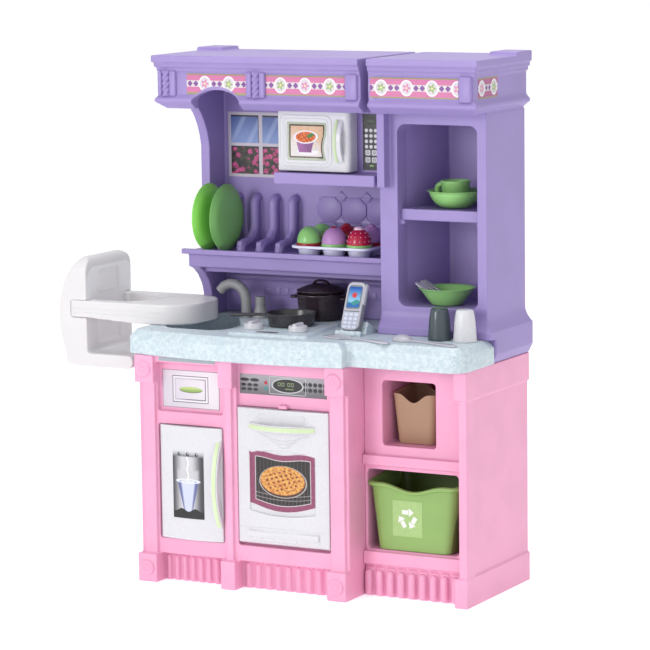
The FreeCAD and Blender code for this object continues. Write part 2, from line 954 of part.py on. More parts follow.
def lower_left_cabinet():
    piece = Moulding("lower_left_cabinet")
    wall = left + size.side_setback
    split = size.cabinet_split
    piece.block((wall, split), (toe_front, back), (0, size.base_height))
    piece.block((wall, split), (face_front, toe_front), (size.foot_height, size.base_height))
    side_bands(piece, (left, wall), front)
    corner_shaft = corner_column[0] + size.corner_shaft_left
    columns = [
        (corner_column, (corner_shaft, corner_shaft + size.corner_shaft_width)),
        (middle_column, (centre(middle_column) - size.middle_shaft_width / 2,
                         centre(middle_column) + size.middle_shaft_width / 2)),
        (split_column, (centre(split_column) - size.split_shaft_width / 2,
                        centre(split_column) + size.split_shaft_width / 2)),
    ]
    for span, shaft in columns:
        column(piece, span, shaft, front, shaft_front, toe_front)
        piece.block(span, (frame_front, face_front), (size.foot_height, capital_bottom))
    for span in (corner_column, split_column):
        rosette(piece, span, 0, size.foot_height, front)
        rosette(piece, span, capital_bottom, size.base_height, front)
    for bay in (fridge_bay, oven_bay):
        piece.block(bay, (frame_front, face_front), (size.foot_height, size.rail_top))
    piece.block(fridge_bay, (frame_front, face_front),
                (fridge_opening_top, fridge_opening_top + size.head_rail_height))
    piece.block(fridge_bay, (face_front - size.apron_depth, face_front),
                (size.base_height - size.apron_height, size.base_height))
    latch = centre(oven_bay)
    piece.block((latch - size.latch_width / 2, latch + size.latch_width / 2), (frame_front, face_front),
                (oven_opening_top, oven_opening_top + size.latch_height))
    flutes(piece, fridge_bay[0], fridge_bay[1], size.fridge_flutes, toe_front)
    flutes(piece, oven_bay[0], oven_bay[1], size.oven_flutes, toe_front)
    cavity_back = back - size.cavity_back
    piece.recess(fridge_bay, (frame_front, rebate_back), (size.rail_top, fridge_opening_top))
    piece.recess((fridge_bay[0] + size.cavity_wall, fridge_bay[1] - size.cavity_wall),
                 (rebate_back, cavity_back),
                 (size.rail_top + size.cavity_wall, fridge_door_top - size.cavity_wall))
    piece.recess(oven_bay, (face_front, rebate_back), (size.rail_top, oven_opening_top))
    piece.recess((oven_bay[0] + size.cavity_wall, oven_bay[1] - size.cavity_wall),
                 (rebate_back, cavity_back),
                 (size.rail_top + size.cavity_wall, oven_door_top - size.cavity_wall))
    fridge_pin = Ring(fridge_pin_x, fridge_pin_y, hole_diameter)
    piece.pocket("XY", size.rail_top - hole_depth, size.rail_top, fridge_pin)
    piece.pocket("XY", fridge_opening_top, fridge_opening_top + hole_depth, fridge_pin)
    oven_pin = Ring(oven_pin_y, oven_pin_z, hole_diameter)
    piece.pocket("YZ", oven_bay[0] - hole_depth, oven_bay[0], oven_pin)
    piece.pocket("YZ", oven_bay[1], oven_bay[1] + hole_depth, oven_pin)


def lower_right_cabinet():
    piece = Moulding("lower_right_cabinet")
    wall = right - size.side_setback
    split = size.cabinet_split
    rail_front = right_face - size.right_rail_depth
    shaft = (size.end_shaft_left, size.end_shaft_left + size.end_shaft_width)
    piece.block((split, wall), (right_face, back), (0, size.base_height))
    column(piece, end_column, shaft, end_column_front, end_column_front + size.end_shaft_setback, right_face)
    side_bands(piece, (wall, right), end_column_front)
    for low, high in ((size.right_rail_bottom, size.rail_top),
                      (size.middle_rail_bottom, size.middle_rail_bottom + size.middle_rail_height)):
        piece.block((split, end_column[0]), (rail_front, right_face), (low, high))
    flutes(piece, split, end_column[0], size.right_flutes, right_face)
    piece.recess((size.bin_bay_left, bin_bay_right), (right_face, right_face + size.bin_bay_depth),
                 (size.bin_bay_bottom, size.bin_bay_bottom + size.bin_bay_height), size.bay_rounding)
    piece.recess((size.cubby_left, cubby_right), (right_face, right_face + size.cubby_depth),
                 (size.cubby_bottom, size.cubby_bottom + size.cubby_height), size.bay_rounding)


def faceted_grip(spot, first, last, surface, reach, thickness):
    # A small grip of three straight runs; spot turns along and out into the sketch's axes
    inner = thickness * 3 / 2
    return [
        spot(first, surface), spot(first - thickness, surface - reach),
        spot(last + thickness, surface - reach), spot(last, surface),
        spot(last + thickness, surface), spot(last + inner, surface - reach + thickness),
        spot(first - inner, surface - reach + thickness), spot(first - thickness, surface)]


def handle_outline(spot, first, last, surface, reach, foot, thickness):
    # A bowed grip between two feet on a surface; spot turns along and out into the sketch's axes
    foot = foot if last.value > first.value else -foot
    return [
        spot(first, surface), Bow(reach), spot(last, surface),
        spot(last - foot, surface), Bow(thickness - reach), spot(first + foot, surface)]


def inlay_band(spot, first, last, surface, reach, depth, thickness, margin):
    # A strip that follows the grip's outer arc, its inner side sunk by depth below it
    half = (last - first) / 2
    arc_radius = (half * half + reach * reach) / (2 * reach)
    arc_centre = surface - reach + arc_radius
    inner = arc_radius - depth
    outer = inner + thickness
    middle = (first + last) / 2
    reach_along = half - margin if half.value > 0 else half + margin
    inner_drop = root(inner * inner - reach_along * reach_along)
    outer_drop = root(outer * outer - reach_along * reach_along)
    return [
        spot(middle - reach_along, arc_centre - outer_drop), Bow(outer - outer_drop),
        spot(middle + reach_along, arc_centre - outer_drop),
        spot(middle + reach_along, arc_centre - inner_drop),
        Bow(inner_drop - inner), spot(middle - reach_along, arc_centre - inner_drop)]


def upright(along, out):
    return (out, along)


def level(along, out):
    return (along, out)


def raised(along, out):
    return (along, -out)


def inlaid_handle(piece, label, plane, spot, first, last, surface, reach, width):
    # The grip, its shallow groove, and the coloured strip that lies in the groove
    low, high = width
    piece.pad(plane, low, high, handle_outline(
        spot, first, last, surface, reach, size.handle_foot, size.handle_thickness))
    side = (high - low - size.inlay_width) / 2
    clearance = size.inlay_clearance
    piece.pocket(plane, low + side - clearance, high - side + clearance, inlay_band(
        spot, first, last, surface, reach, size.inlay_depth + clearance,
        size.handle_thickness, size.inlay_end - clearance))
    strip = Moulding(label)
    strip.pad(plane, low + side, high - side, inlay_band(
        spot, first, last, surface, reach, size.inlay_depth, size.inlay_thickness, size.inlay_end))


def fridge_door():
    piece = Moulding("fridge_door")
    door_right = fridge_bay[1] - size.door_gap
    edge_front = door_back - size.fridge_door_thickness
    piece.pad("XY", fridge_door_bottom, fridge_door_top, [
        (fridge_pin_x, edge_front), Bow(size.fridge_door_bow), (door_right, edge_front),
        (door_right, door_back), (fridge_pin_x, door_back)])
    piece.pad("XY", fridge_door_bottom, fridge_door_top,
              Ring(fridge_pin_x, fridge_pin_y, size.fridge_door_thickness))
    border = size.door_panel_border
    piece.pocket("XZ", door_back - size.door_panel_depth, door_back, rectangle(
        fridge_pin_x + border, door_right - border, fridge_door_bottom + border, fridge_door_top - border))
    pin_reach = size.door_gap + size.pin_length
    piece.pad("XY", fridge_door_bottom - pin_reach, fridge_door_top + pin_reach,
              Ring(fridge_pin_x, fridge_pin_y, size.pin_diameter))
    handle_bottom = fridge_door_bottom + size.fridge_handle_bottom
    handle_top = handle_bottom + size.fridge_handle_length
    inlaid_handle(piece, "fridge_handle_inlay", "YZ", upright, handle_top, handle_bottom,
                  edge_front + size.handle_root, size.fridge_handle_reach + size.handle_root,
                  (door_right - size.handle_width, door_right))


def oven_door():
    piece = Moulding("oven_door")
    door_left = oven_bay[0] + size.door_gap
    door_right = oven_bay[1] - size.door_gap
    door_front = door_back - size.oven_door_thickness
    edge_front = door_front + size.oven_door_bow
    piece.pad("XY", oven_pin_z, oven_door_top, [
        (door_left, edge_front), Bow(size.oven_door_bow), (door_right, edge_front),
        (door_right, door_back), (door_left, door_back)])
    piece.pad("YZ", door_left, door_right, Ring(oven_pin_y, oven_pin_z, size.oven_barrel_diameter))
    pin_reach = size.door_gap + size.pin_length
    piece.pad("YZ", door_left - pin_reach, door_right + pin_reach,
              Ring(oven_pin_y, oven_pin_z, size.pin_diameter))
    window_left = door_left + size.oven_window_left
    window_right = window_left + size.oven_window_width
    window_low = oven_door_bottom + size.oven_window_bottom
    window_high = window_low + size.oven_window_height
    piece.pocket("XZ", door_front, edge_front + size.oven_window_depth, [
        (window_left, window_low), Bow(size.oven_window_bow), (window_right, window_low),
        (window_right, window_high), Bow(size.oven_window_bow), (window_left, window_high)])
    border = size.door_panel_border
    piece.pocket("XZ", door_back - size.door_panel_depth, door_back, rectangle(
        door_left + border, door_right - border, oven_pin_z + border, oven_door_top - border))
    vents = size.oven_vents - 1
    vent_left = (door_left + door_right - vents * size.oven_vent_pitch - size.oven_vent_width) / 2
    vent_low = oven_door_bottom + size.oven_vent_bottom
    vent = piece.pocket("XZ", door_front, edge_front + size.oven_window_depth, rectangle(
        vent_left, vent_left + size.oven_vent_width, vent_low, vent_low + size.oven_vent_height))
    piece.repeat(vent, "X", size.oven_vent_pitch, size.oven_vents)
    handle_left = (door_left + door_right - size.oven_handle_length) / 2
    handle_z = oven_door_top - size.oven_handle_top
    inlaid_handle(piece, "oven_handle_inlay", "XY", level, handle_left, handle_left + size.oven_handle_length,
                  edge_front + size.handle_root, size.oven_handle_reach + size.handle_root,
                  (handle_z, handle_z + size.handle_width))


def countertop():
    # The long front is bowed, and the shorter right end stands back beside it
    long_side = Moulding("long_side")
    long_side.pad("XY", size.base_height, counter, [
        (size.top_left, size.top_left_front), Bow(size.top_bow), (size.cabinet_split, size.top_split_front),
        (size.cabinet_split, back), (size.top_left, back)])
    short_front = size.top_split_front + size.top_step
    short_left = size.cabinet_split - size.top_overlap
    short_back = size.tower_foot_front - size.tower_seam
    short_side = Moulding("short_side")
    short_side.pad("XY", size.base_height, counter, [
        (short_left, short_front), (size.top_right, short_front), (size.top_right, short_back),
        (size.cabinet_split, short_back), (size.cabinet_split, back), (short_left, back)])
    long_side.round_edges(size.top_corner, lambda edge: (
        upright_edge(edge, size.top_left, size.top_left_front)))
    short_side.round_edges(size.top_corner, lambda edge: upright_edge(edge, size.top_right, short_front))
    long_side.bevel_edges(size.nose_bevel, lambda edge: (
        at_height(edge, counter) and edge.CenterOfMass.y < back.value - 1))
    short_side.bevel_edges(size.nose_bevel, lambda edge: (
        at_height(edge, counter)
        and edge.CenterOfMass.y < short_back.value - 1
        and edge.CenterOfMass.x > short_left.value + 1))
    long_side.pad("XY", counter, hob, [
        (size.hob_left_front, size.hob_front, size.hob_rounding),
        (size.hob_right_front, size.hob_front, size.hob_rounding),
        (size.hob_right_back, size.hob_back, size.hob_rounding),
        (size.hob_left_back, size.hob_back, size.hob_rounding)])
    basin_right = size.basin_left + size.basin_width
    basin_back = size.basin_front + size.basin_length
    long_side.pocket("XY", counter - size.basin_depth, counter, [
        (size.basin_left, size.basin_front, size.basin_rounding),
        (basin_right, size.basin_front, size.basin_rounding),
        (basin_right, size.basin_bend, size.basin_rounding),
        (size.basin_deck_x, size.basin_deck_y, size.basin_deck_rounding),
        (size.basin_deck_x, basin_back, size.basin_deck_rounding / 2),
        (size.basin_left, basin_back, size.basin_rounding)])
    shaft_hole = size.knob_shaft_diameter + 2 * size.pin_clearance
    for x in (size.knob_left_x, size.knob_right_x):
        long_side.pocket("XY", hob - size.knob_shaft_length - size.pin_end_clearance, hob,
                         Ring(x, size.knob_y, shaft_hole))
    for x, y in ((size.tap_x, size.tap_y), (size.valve_x, size.valve_y)):
        long_side.pocket("XY", counter - size.knob_shaft_length - size.pin_end_clearance, counter,
                         Ring(x, y, shaft_hole))
    top = doc.addObject("Part::Fuse", "countertop")
    top.Label = "countertop"
    top.Base = long_side.body
    top.Tool = short_side.body
    top.Refine = True
    del sub_parts["long_side"]
    del sub_parts["short_side"]
    sub_parts["countertop"] = top


def upright_edge(edge, x, y):
    middle = edge.CenterOfMass
    return abs(middle.x - x.value) < 0.01 and abs(middle.y - y.value) < 0.01


def at_height(edge, z):
    return abs(edge.BoundBox.ZMin - z.value) < 0.01 and abs(edge.BoundBox.ZMax - z.value) < 0.01


def canopy_profile():
    # How far the canopy stands out from its frieze at each height, from the bottom up
    low = size.frieze_front - size.canopy_low_front
    lip = size.frieze_front - size.canopy_lip_front
    steps = [
        (low, size.canopy_bottom), (lip, size.canopy_lip_bottom), (lip, size.canopy_lip_top),
        (0, size.frieze_bottom), (0, size.frieze_top)]
    for number in range(3):
        height = size.frieze_top + number * size.cornice_rise
        if number > 0:
            steps.append((number * size.cornice_step, height))
        steps.append(((number + 1) * size.cornice_step, height))
    steps.append((canopy_overhang, size.cornice_top))
    return steps


def canopy(piece, start, end, side, outwards):
    # The moulding runs along the front, and its end is cut to the same steps round the side
    profile = canopy_profile()
    front_steps = [(size.frieze_front - out, height) for out, height in profile]
    piece.pad("YZ", start, end, front_steps + [(back, size.cornice_top), (back, size.canopy_bottom)])
    beyond = side + outwards * 2 * canopy_overhang
    side_steps = [(side + outwards * out, height) for out, height in profile]
    piece.pocket("XZ", size.canopy_lip_front - canopy_overhang, back, side_steps + [
        (beyond, size.cornice_top), (beyond, size.canopy_bottom)])


def pilaster(piece, start, end):
    piece.block((start, end), (size.frieze_front - size.pilaster_depth, size.frieze_front),
                (size.frieze_bottom, size.frieze_top))


def ear(piece, start, end):
    # A low raised pad at a back corner of the top
    piece.block((start, end), (back - size.ear_length, back),
                (size.cornice_top, size.cornice_top + size.ear_height))


def shelf(piece):
    bead_top = size.shelf_top + size.shelf_bead_rise
    bead_bottom = bead_top - size.shelf_bead_height
    fascia_bottom = size.shelf_top - size.shelf_fascia_height
    step_bottom = fascia_bottom - size.shelf_step_height
    bead_left = size.hutch_left - size.shelf_overhang
    fascia_left = bead_left + size.shelf_fascia_front - size.shelf_bead_front
    piece.pad("YZ", bead_left, size.hutch_right, [
        (back, size.shelf_top), (size.shelf_fascia_front, size.shelf_top), (size.shelf_fascia_front, bead_top),
        (size.shelf_bead_front, bead_top), (size.shelf_bead_front, bead_bottom),
        (size.shelf_fascia_front, bead_bottom), (size.shelf_fascia_front, fascia_bottom),
        (size.shelf_step_front, fascia_bottom), (size.shelf_step_front, step_bottom), (back, step_bottom)])
    piece.pocket("XZ", size.shelf_bead_front, back, [
        (bead_left, step_bottom), (size.hutch_left, step_bottom), (size.hutch_left, fascia_bottom),
        (fascia_left, fascia_bottom), (fascia_left, bead_bottom), (bead_left, bead_bottom)])


def plate_rack(piece):
    # L-shaped ribs that hold the plates on edge
    wall = back - size.back_wall
    half = size.rack_width / 2
    floor_top = size.shelf_top + size.rack_floor_height
    rib_top = size.shelf_top + size.rack_height
    slope = wall - size.rack_front
    rib = piece.pad("YZ", size.rack_first - half, size.rack_first + half, [
        (size.rack_floor_front, size.shelf_top), (wall, size.shelf_top), (wall, rib_top),
        (size.rack_front, rib_top - slope), (size.rack_front, floor_top + slope),
        (size.rack_front - slope, floor_top), (size.rack_floor_front, floor_top, size.rack_rounding)])
    piece.repeat(rib, "X", size.rack_pitch, size.rack_ribs).Reversed = True


def wall_tiles(piece):
    # Shallow square tiles pressed into the wall behind the baking tray
    wall = back - size.back_wall
    pitch = size.tile_width + size.tile_gap
    tile_left = size.housing_left + size.tile_gap
    rise = size.tile_height + size.tile_gap
    for row in range(2):
        low = size.shelf_top + size.tile_panel_border + row * rise
        tile = piece.pocket("XZ", wall, wall + size.tile_depth, rectangle(
            tile_left, tile_left + size.tile_width, low, low + size.tile_height))
        piece.repeat(tile, "X", pitch, size.tiles)


def upper_hutch():
    piece = Moulding("upper_hutch")
    inner = size.hutch_left + size.hutch_wall
    wall = back - size.back_wall
    canopy(piece, size.hutch_left - canopy_overhang, size.cornice_left_end, size.hutch_left, -1)
    shelf(piece)
    piece.pad("YZ", size.hutch_left, inner, [
        (size.side_front, counter), (back, counter), (back, size.canopy_bottom),
        (size.side_top_front, size.canopy_bottom), Bow(-size.side_ogee),
        (size.side_front, size.side_ogee_bottom),
        (size.side_front, size.shelf_top), (size.side_low_front, size.shelf_top - size.shelf_fascia_height),
        Bow(-size.side_ogee), (size.side_front, size.side_low_ogee_bottom)])
    piece.block((inner, size.hutch_right), (wall, back), (counter, size.canopy_bottom))
    piece.block((size.housing_left, size.hutch_right), (size.housing_front, back),
                (size.oven_shelf_bottom, size.canopy_bottom))
    piece.block((size.housing_left, size.hutch_right), (size.oven_shelf_front, size.housing_front),
                (size.oven_shelf_bottom, ledge_top))
    piece.block((inner, size.hutch_right), (wall - size.wall_bead_depth, wall),
                (size.wall_bead_bottom, size.wall_bead_bottom + size.wall_bead_height))
    plate_rack(piece)
    niche_left = size.housing_left + size.niche_left
    piece.recess((niche_left, niche_left + size.niche_width),
                 (size.housing_front, size.housing_front + size.niche_depth),
                 (size.niche_bottom, size.niche_bottom + size.niche_height))
    board_back = size.frieze_front + size.canopy_board
    piece.pocket("XY", size.canopy_bottom, size.canopy_hollow_top, rectangle(
        inner, size.housing_left, board_back, wall))
    arch_right = size.arch_left + size.arch_width
    piece.pocket("XZ", size.canopy_lip_front, board_back, [
        (size.arch_left, size.canopy_bottom), (arch_right, size.canopy_bottom),
        (arch_right, size.arch_spring), Bow(size.arch_rise), (size.arch_left, size.arch_spring)])
    pin_hole = Ring(play_pin_x, play_pin_y, hole_diameter)
    piece.pocket("XY", ledge_top - hole_depth, ledge_top, pin_hole)
    piece.pocket("XY", size.canopy_bottom, size.canopy_bottom + hole_depth, pin_hole)
    wall_tiles(piece)
    pilaster(piece, size.hutch_left, size.hutch_left + size.pilaster_corner)
    pilaster(piece, size.pilaster_middle, size.pilaster_middle + size.pilaster_middle_width)
    pilaster(piece, size.pilaster_split, size.pilaster_split + size.pilaster_split_width)
    ear(piece, size.hutch_left - canopy_overhang, size.hutch_left - canopy_overhang + size.ear_width)


def upper_tower():
    piece = Moulding("upper_tower")
    side = size.tower_right + size.side_step
    canopy(piece, size.cornice_right_end, side + canopy_overhang, side, 1)
    piece.pad("YZ", tower_left, size.skirt_right, [
        (size.tower_front, size.skirt_top), Bow(-size.skirt_flare), (size.skirt_front, size.skirt_shoulder),
        (size.skirt_front, counter), (size.tower_foot_front, counter),
        (size.tower_foot_front, size.base_height), (back, size.base_height), (back, size.skirt_top)])
    piece.pocket("XZ", size.skirt_front, back, [
        (size.skirt_foot_right, size.base_height), (size.skirt_right, size.base_height),
        (size.skirt_right, size.skirt_hem)])
    piece.pocket("XZ", size.skirt_front, back, [
        (size.skirt_right, size.skirt_shoulder), (size.skirt_right, size.skirt_top),
        (size.tower_right, size.skirt_top), Bow(size.skirt_flare)])
    piece.block((tower_left, size.tower_right), (size.tower_front, back), (size.skirt_top, size.canopy_bottom))
    piece.recess((size.tower_opening_left, tower_opening_right), (size.tower_front, tower_opening_back),
                 (size.tower_opening_bottom, size.tower_opening_bottom + size.tower_opening_height),
                 size.tower_opening_rounding)
    piece.pad("XY", size.tower_opening_bottom - 1, size.tower_opening_bottom + size.tower_opening_height + 1, [
        (size.tower_opening_left - 1, size.tower_front + size.tower_slant_start),
        (size.tower_opening_left, size.tower_front + size.tower_slant_start),
        (size.tower_opening_left + size.tower_corner_slant, tower_opening_back),
        (size.tower_opening_left - 1, tower_opening_back)])
    bearer_top = size.slat_shelf_top - size.slat_shelf_height
    for start, end in ((size.tower_opening_left, size.tower_opening_left + size.shelf_bearer),
                       (tower_opening_right - size.shelf_bearer, tower_opening_right)):
        piece.block((start, end), (size.slat_shelf_front, tower_opening_back),
                    (bearer_top - size.shelf_bearer_height, bearer_top))
    piece.block((size.strip_left, size.strip_left + size.strip_width),
                (size.tower_front - size.strip_depth, size.tower_front),
                (size.oven_shelf_bottom, size.canopy_bottom))
    pilaster(piece, size.cornice_right_end, size.cornice_right_end + size.pilaster_split_width / 2)
    pilaster(piece, size.tower_right - size.pilaster_tower, size.tower_right)
    ear(piece, side + canopy_overhang - size.ear_width, side + canopy_overhang)


def tower_shelf():
    piece = Moulding("tower_shelf")
    gap = size.shelf_gap
    shelf_bottom = size.slat_shelf_top - size.slat_shelf_height
    shelf_left = size.tower_opening_left + gap
    shelf_right = tower_opening_right - gap
    slant_front = size.tower_front + size.tower_slant_start - gap
    piece.pad("XY", shelf_bottom, size.slat_shelf_top, [
        (shelf_left, size.slat_shelf_front), (shelf_right, size.slat_shelf_front),
        (shelf_right, tower_opening_back - gap),
        (size.tower_opening_left + size.tower_corner_slant + gap, tower_opening_back - gap),
        (shelf_left, slant_front)])
    slot_front = size.slat_shelf_front + size.slat_shelf_lip
    slot = piece.pocket("XY", shelf_bottom, size.slat_shelf_top, rectangle(
        size.slot_left, size.slot_left + size.slot_width,
        slot_front, slot_front + size.slot_length))
    piece.repeat(slot, "X", size.slat_pitch, size.slats)


def microwave_door():
    piece = Moulding("microwave_door")
    door_right = play_door_left + size.play_door_width
    door_front = play_door_back - size.play_door_thickness
    piece.pad("XY", size.play_door_bottom, play_door_top, [
        (play_door_left, door_front, size.play_door_rounding),
        (door_right, door_front, size.play_door_rounding),
        (door_right, play_door_back), (play_door_left, play_door_back, size.play_pin_inset)])
    piece.pad("XY", ledge_top - size.pin_length, size.canopy_bottom + size.pin_length,
              Ring(play_pin_x, play_pin_y, size.pin_diameter))
    window_left = play_door_left + size.play_window_left
    window_low = (size.play_door_bottom + play_door_top - size.play_window_height) / 2
    piece.pocket("XZ", door_front, door_front + size.oven_window_depth, cut_rectangle(
        window_left, window_left + size.play_window_width, window_low, window_low + size.play_window_height,
        size.play_window_corner))
    handle_right = door_right - size.play_handle_inset
    handle_low = (size.play_door_bottom + play_door_top - size.play_handle_length) / 2
    piece.pad("YZ", handle_right - size.handle_width, handle_right, handle_outline(
        upright, handle_low + size.play_handle_length, handle_low, door_front + size.handle_root,
        size.play_handle_reach + size.handle_root, size.handle_foot, size.handle_thickness))


def hob_knob(label, x):
    piece = Moulding(label)
    cap = size.knob_height - size.knob_grip_height
    lean = arctangent(size.knob_taper / cap)
    piece.pad("XY", 0, cap, Polygon(0, 0, size.knob_diameter, size.knob_sides))
    piece.taper(lean, False)
    piece.pad("XY", -size.knob_shaft_length - size.turn_gap, 0, Ring(0, 0, size.knob_shaft_diameter))
    grip = size.knob_diameter / 2 - 2 * size.knob_taper
    half = size.knob_grip_width / 2
    piece.pad("XY", cap, size.knob_height, cut_rectangle(-half, half, -grip, grip, half / 2))
    piece.stand(x, size.knob_y, hob + size.turn_gap)


def tap_spout():
    piece = Moulding("tap_spout")
    profile = piece.sketch("XY", 0, Polygon(0, 0, size.tap_diameter, size.tap_sides))
    path = piece.body.newObject("Sketcher::SketchObject", "Path")
    path.AttachmentSupport = [(piece.origin_feature("XZ_Plane"), "")]
    path.MapMode = "FlatFace"
    turns = int(size.tap_turns.value)
    route = [(as_size(0), as_size(0))]
    for number in range(turns + 1):
        turned = number * size.tap_sweep / size.tap_turns
        route.append((size.tap_bend * cosine(turned) - size.tap_bend,
                      size.tap_rise + size.tap_bend * sine(turned)))
    for near, far in zip(route, route[1:]):
        start = FreeCAD.Vector(near[0].value, near[1].value, 0)
        end = FreeCAD.Vector(far[0].value, far[1].value, 0)
        run = path.addGeometry(Part.LineSegment(start, end), False)
        fix_point(path, run, 2, *far)
        if run == 0:
            path.addConstraint(Sketcher.Constraint("Coincident", run, 1, -1, 1))
        else:
            path.addConstraint(Sketcher.Constraint("Coincident", run - 1, 2, run, 1))
    pipe = piece.body.newObject("PartDesign::AdditivePipe", "Pipe")
    pipe.Profile = profile
    pipe.Spine = (path, [f"Edge{number}" for number in range(1, turns + 2)])
    pipe.Transition = "Right corner"
    piece.pad("XY", -size.knob_shaft_length - size.turn_gap, 0, Ring(0, 0, size.knob_shaft_diameter))
    piece.stand(size.tap_x, size.tap_y, counter + size.turn_gap)


def tap_valve():
    piece = Moulding("tap_valve")
    narrowing = (size.valve_base_diameter - size.valve_top_diameter) / 2
    piece.pad("XY", 0, size.valve_base_height, Polygon(0, 0, size.valve_base_diameter, size.knob_sides))
    piece.taper(arctangent(narrowing / size.valve_base_height), False)
    piece.pad("XY", size.valve_base_height, size.valve_height,
              Polygon(0, 0, size.valve_top_diameter, size.knob_sides))
    piece.pad("XY", -size.knob_shaft_length - size.turn_gap, 0, Ring(0, 0, size.knob_shaft_diameter))
    piece.stand(size.valve_x, size.valve_y, counter + size.turn_gap)


def vessel(label, rim, foot, height, wall, grips=()):
    # A tapered vessel with flat facets: the grips join the outside before the hollow is cut
    piece = Moulding(label)
    sides = size.dish_sides
    lean = arctangent((rim - foot) / 2 * cosine(180 / sides) / height)
    piece.pad("XY", 0, height, Polygon(0, 0, foot, sides))
    piece.taper(lean, True)
    for plane, low, high, outline in grips:
        piece.pad(plane, low, high, outline)
    inside = foot - 2 * wall
    piece.pocket("XY", wall, height, Polygon(0, 0, inside, sides))

    def in_the_hollow(face):
        middle = face.CenterOfMass
        return is_upright(face) and math.hypot(middle.x, middle.y) < inside.value / 2

    piece.taper(lean, False, in_the_hollow)
    return piece


def plate(label, x):
    foot = size.plate_diameter - 2 * size.plate_rim
    piece = vessel(label, size.plate_diameter, foot, size.plate_thickness, size.plate_wall)
    # It stands on one of its flats
    radius = size.plate_diameter / 2 * cosine(180 / size.dish_sides)
    piece.stand(x - size.plate_thickness / 2, size.plate_y, size.shelf_top + radius + size.rest_gap, (0, 1, 0), 90)


def bowl(label, x, y, floor):
    piece = vessel(label, size.bowl_rim_diameter, size.bowl_foot_diameter, size.bowl_height, size.bowl_wall)
    piece.stand(x, y, floor + size.rest_gap)


def cup():
    root_x = -size.cup_foot_diameter / 2 + size.cup_wall
    middle = size.cup_height / 2 + size.cup_handle_rise
    half = size.cup_handle_height / 2
    reach = size.cup_diameter / 2 - size.cup_foot_diameter / 2 + size.cup_wall + size.cup_handle_reach
    handle = faceted_grip(upright, middle + half, middle - half, root_x, reach, size.cup_handle_thickness)
    piece = vessel("cup", size.cup_diameter, size.cup_foot_diameter, size.cup_height, size.cup_wall, [
        ("XZ", -size.cup_handle_width / 2, size.cup_handle_width / 2, handle)])
    floor = size.slat_shelf_top + size.rest_gap + size.bowl_wall + size.rest_gap
    piece.stand(size.upper_bowl_x, size.upper_bowl_y, floor)


def pot():
    ear_top = size.pot_height - size.pot_ear_drop
    ear_low = ear_top - size.pot_ear_thickness
    half = size.pot_ear_width / 2
    inside = size.pot_foot_diameter / 2 - size.pot_wall
    reach = size.pot_diameter / 2 - inside + size.pot_ear_reach
    tip = inside + reach
    left_ear = [(-inside, half), (-tip, half / 2), (-tip, -half / 2), (-inside, -half)]
    right_ear = [(inside, half), (tip, half / 2), (tip, -half / 2), (inside, -half)]
    piece = vessel("pot", size.pot_diameter, size.pot_foot_diameter, size.pot_height, size.pot_wall, [
        ("XY", ear_low, ear_top, left_ear), ("XY", ear_low, ear_top, right_ear)])
    piece.stand(size.pot_x, size.pot_y, hob + size.rest_gap)


def pot_lid():
    piece = Moulding("pot_lid")
    sides = size.dish_sides
    crown = size.lid_height - size.lid_rim_height
    narrowing = (size.pot_diameter - size.lid_top_diameter) / 2
    piece.pad("XY", 0, crown, Polygon(0, 0, size.pot_diameter, sides))
    piece.taper(arctangent(narrowing / crown), False)
    piece.pad("XY", -size.lid_rim_height, 0, Polygon(0, 0, size.pot_diameter, sides))
    half = size.lid_loop_width / 2
    foot = crown - size.handle_root
    rise = size.lid_loop_height + size.handle_root
    piece.pad("XZ", -size.lid_loop_depth / 2, size.lid_loop_depth / 2, faceted_grip(
        raised, half, -half, -foot, rise, size.lid_loop_thickness))
    piece.stand(size.pot_x, size.pot_y, hob + size.pot_height + 2 * size.rest_gap + size.lid_rim_height)


def frying_pan():
    rim = size.pan_diameter / 2
    half = size.pan_handle_width / 2
    tip = rim + size.pan_handle_length
    inside = size.pan_foot_diameter / 2 - size.pan_wall
    handle = [
        (inside, -half / 2), (rim, -half / 2), (tip, -half, size.pan_handle_rounding),
        (tip, half, size.pan_handle_rounding), (rim, half / 2), (inside, half / 2)]
    handle_low = size.pan_height - size.pan_handle_thickness
    piece = vessel("frying_pan", size.pan_diameter, size.pan_foot_diameter, size.pan_height, size.pan_wall, [
        ("XY", handle_low, size.pan_height, handle)])
    piece.stand(size.pan_x, size.pan_y, hob + size.rest_gap, (0, 0, 1), size.pan_handle_angle)


def tumbler(label, x, y):
    # A cup that stands upside down on its rim
    piece = vessel(label, size.tumbler_rim_diameter, size.tumbler_foot_diameter, size.tumbler_height,
                   size.tumbler_wall)
    piece.stand(x, y, counter + size.rest_gap + size.tumbler_height, (1, 0, 0), 180)


def mirrored(half_outline):
    # The near side runs towards the grip, and the far side comes back
    return half_outline + [(point[0], -point[1]) + tuple(point[2:]) for point in reversed(half_outline)]


def spatula():
    piece = Moulding("spatula")
    blade = size.spatula_blade_length / 2
    half = size.spatula_blade_width / 2
    neck = size.utensil_neck_width / 2
    grip = size.utensil_grip_width / 2
    neck_start = blade + size.utensil_shoulder
    grip_start = size.utensil_length - size.utensil_grip_length
    piece.pad("XY", 0, size.utensil_thickness, mirrored([
        (-blade, -half, size.utensil_rounding), (blade, -half, size.utensil_rounding),
        (neck_start, -neck), (grip_start, -neck), (grip_start + size.utensil_shoulder, -grip),
        (size.utensil_length, -grip, size.utensil_rounding)]))
    slot = size.spatula_slot_width / 2
    first = -(size.spatula_slots - 1) / 2 * size.spatula_slot_pitch
    cut = piece.pocket("XY", 0, size.utensil_thickness, rectangle(
        -blade + size.utensil_shoulder, blade - size.utensil_rounding, first - slot, first + slot))
    piece.repeat(cut, "Y", size.spatula_slot_pitch, size.spatula_slots)
    piece.stand(size.spatula_x, size.spatula_y, counter + size.rest_gap, (0, 0, 1), size.utensil_angle)


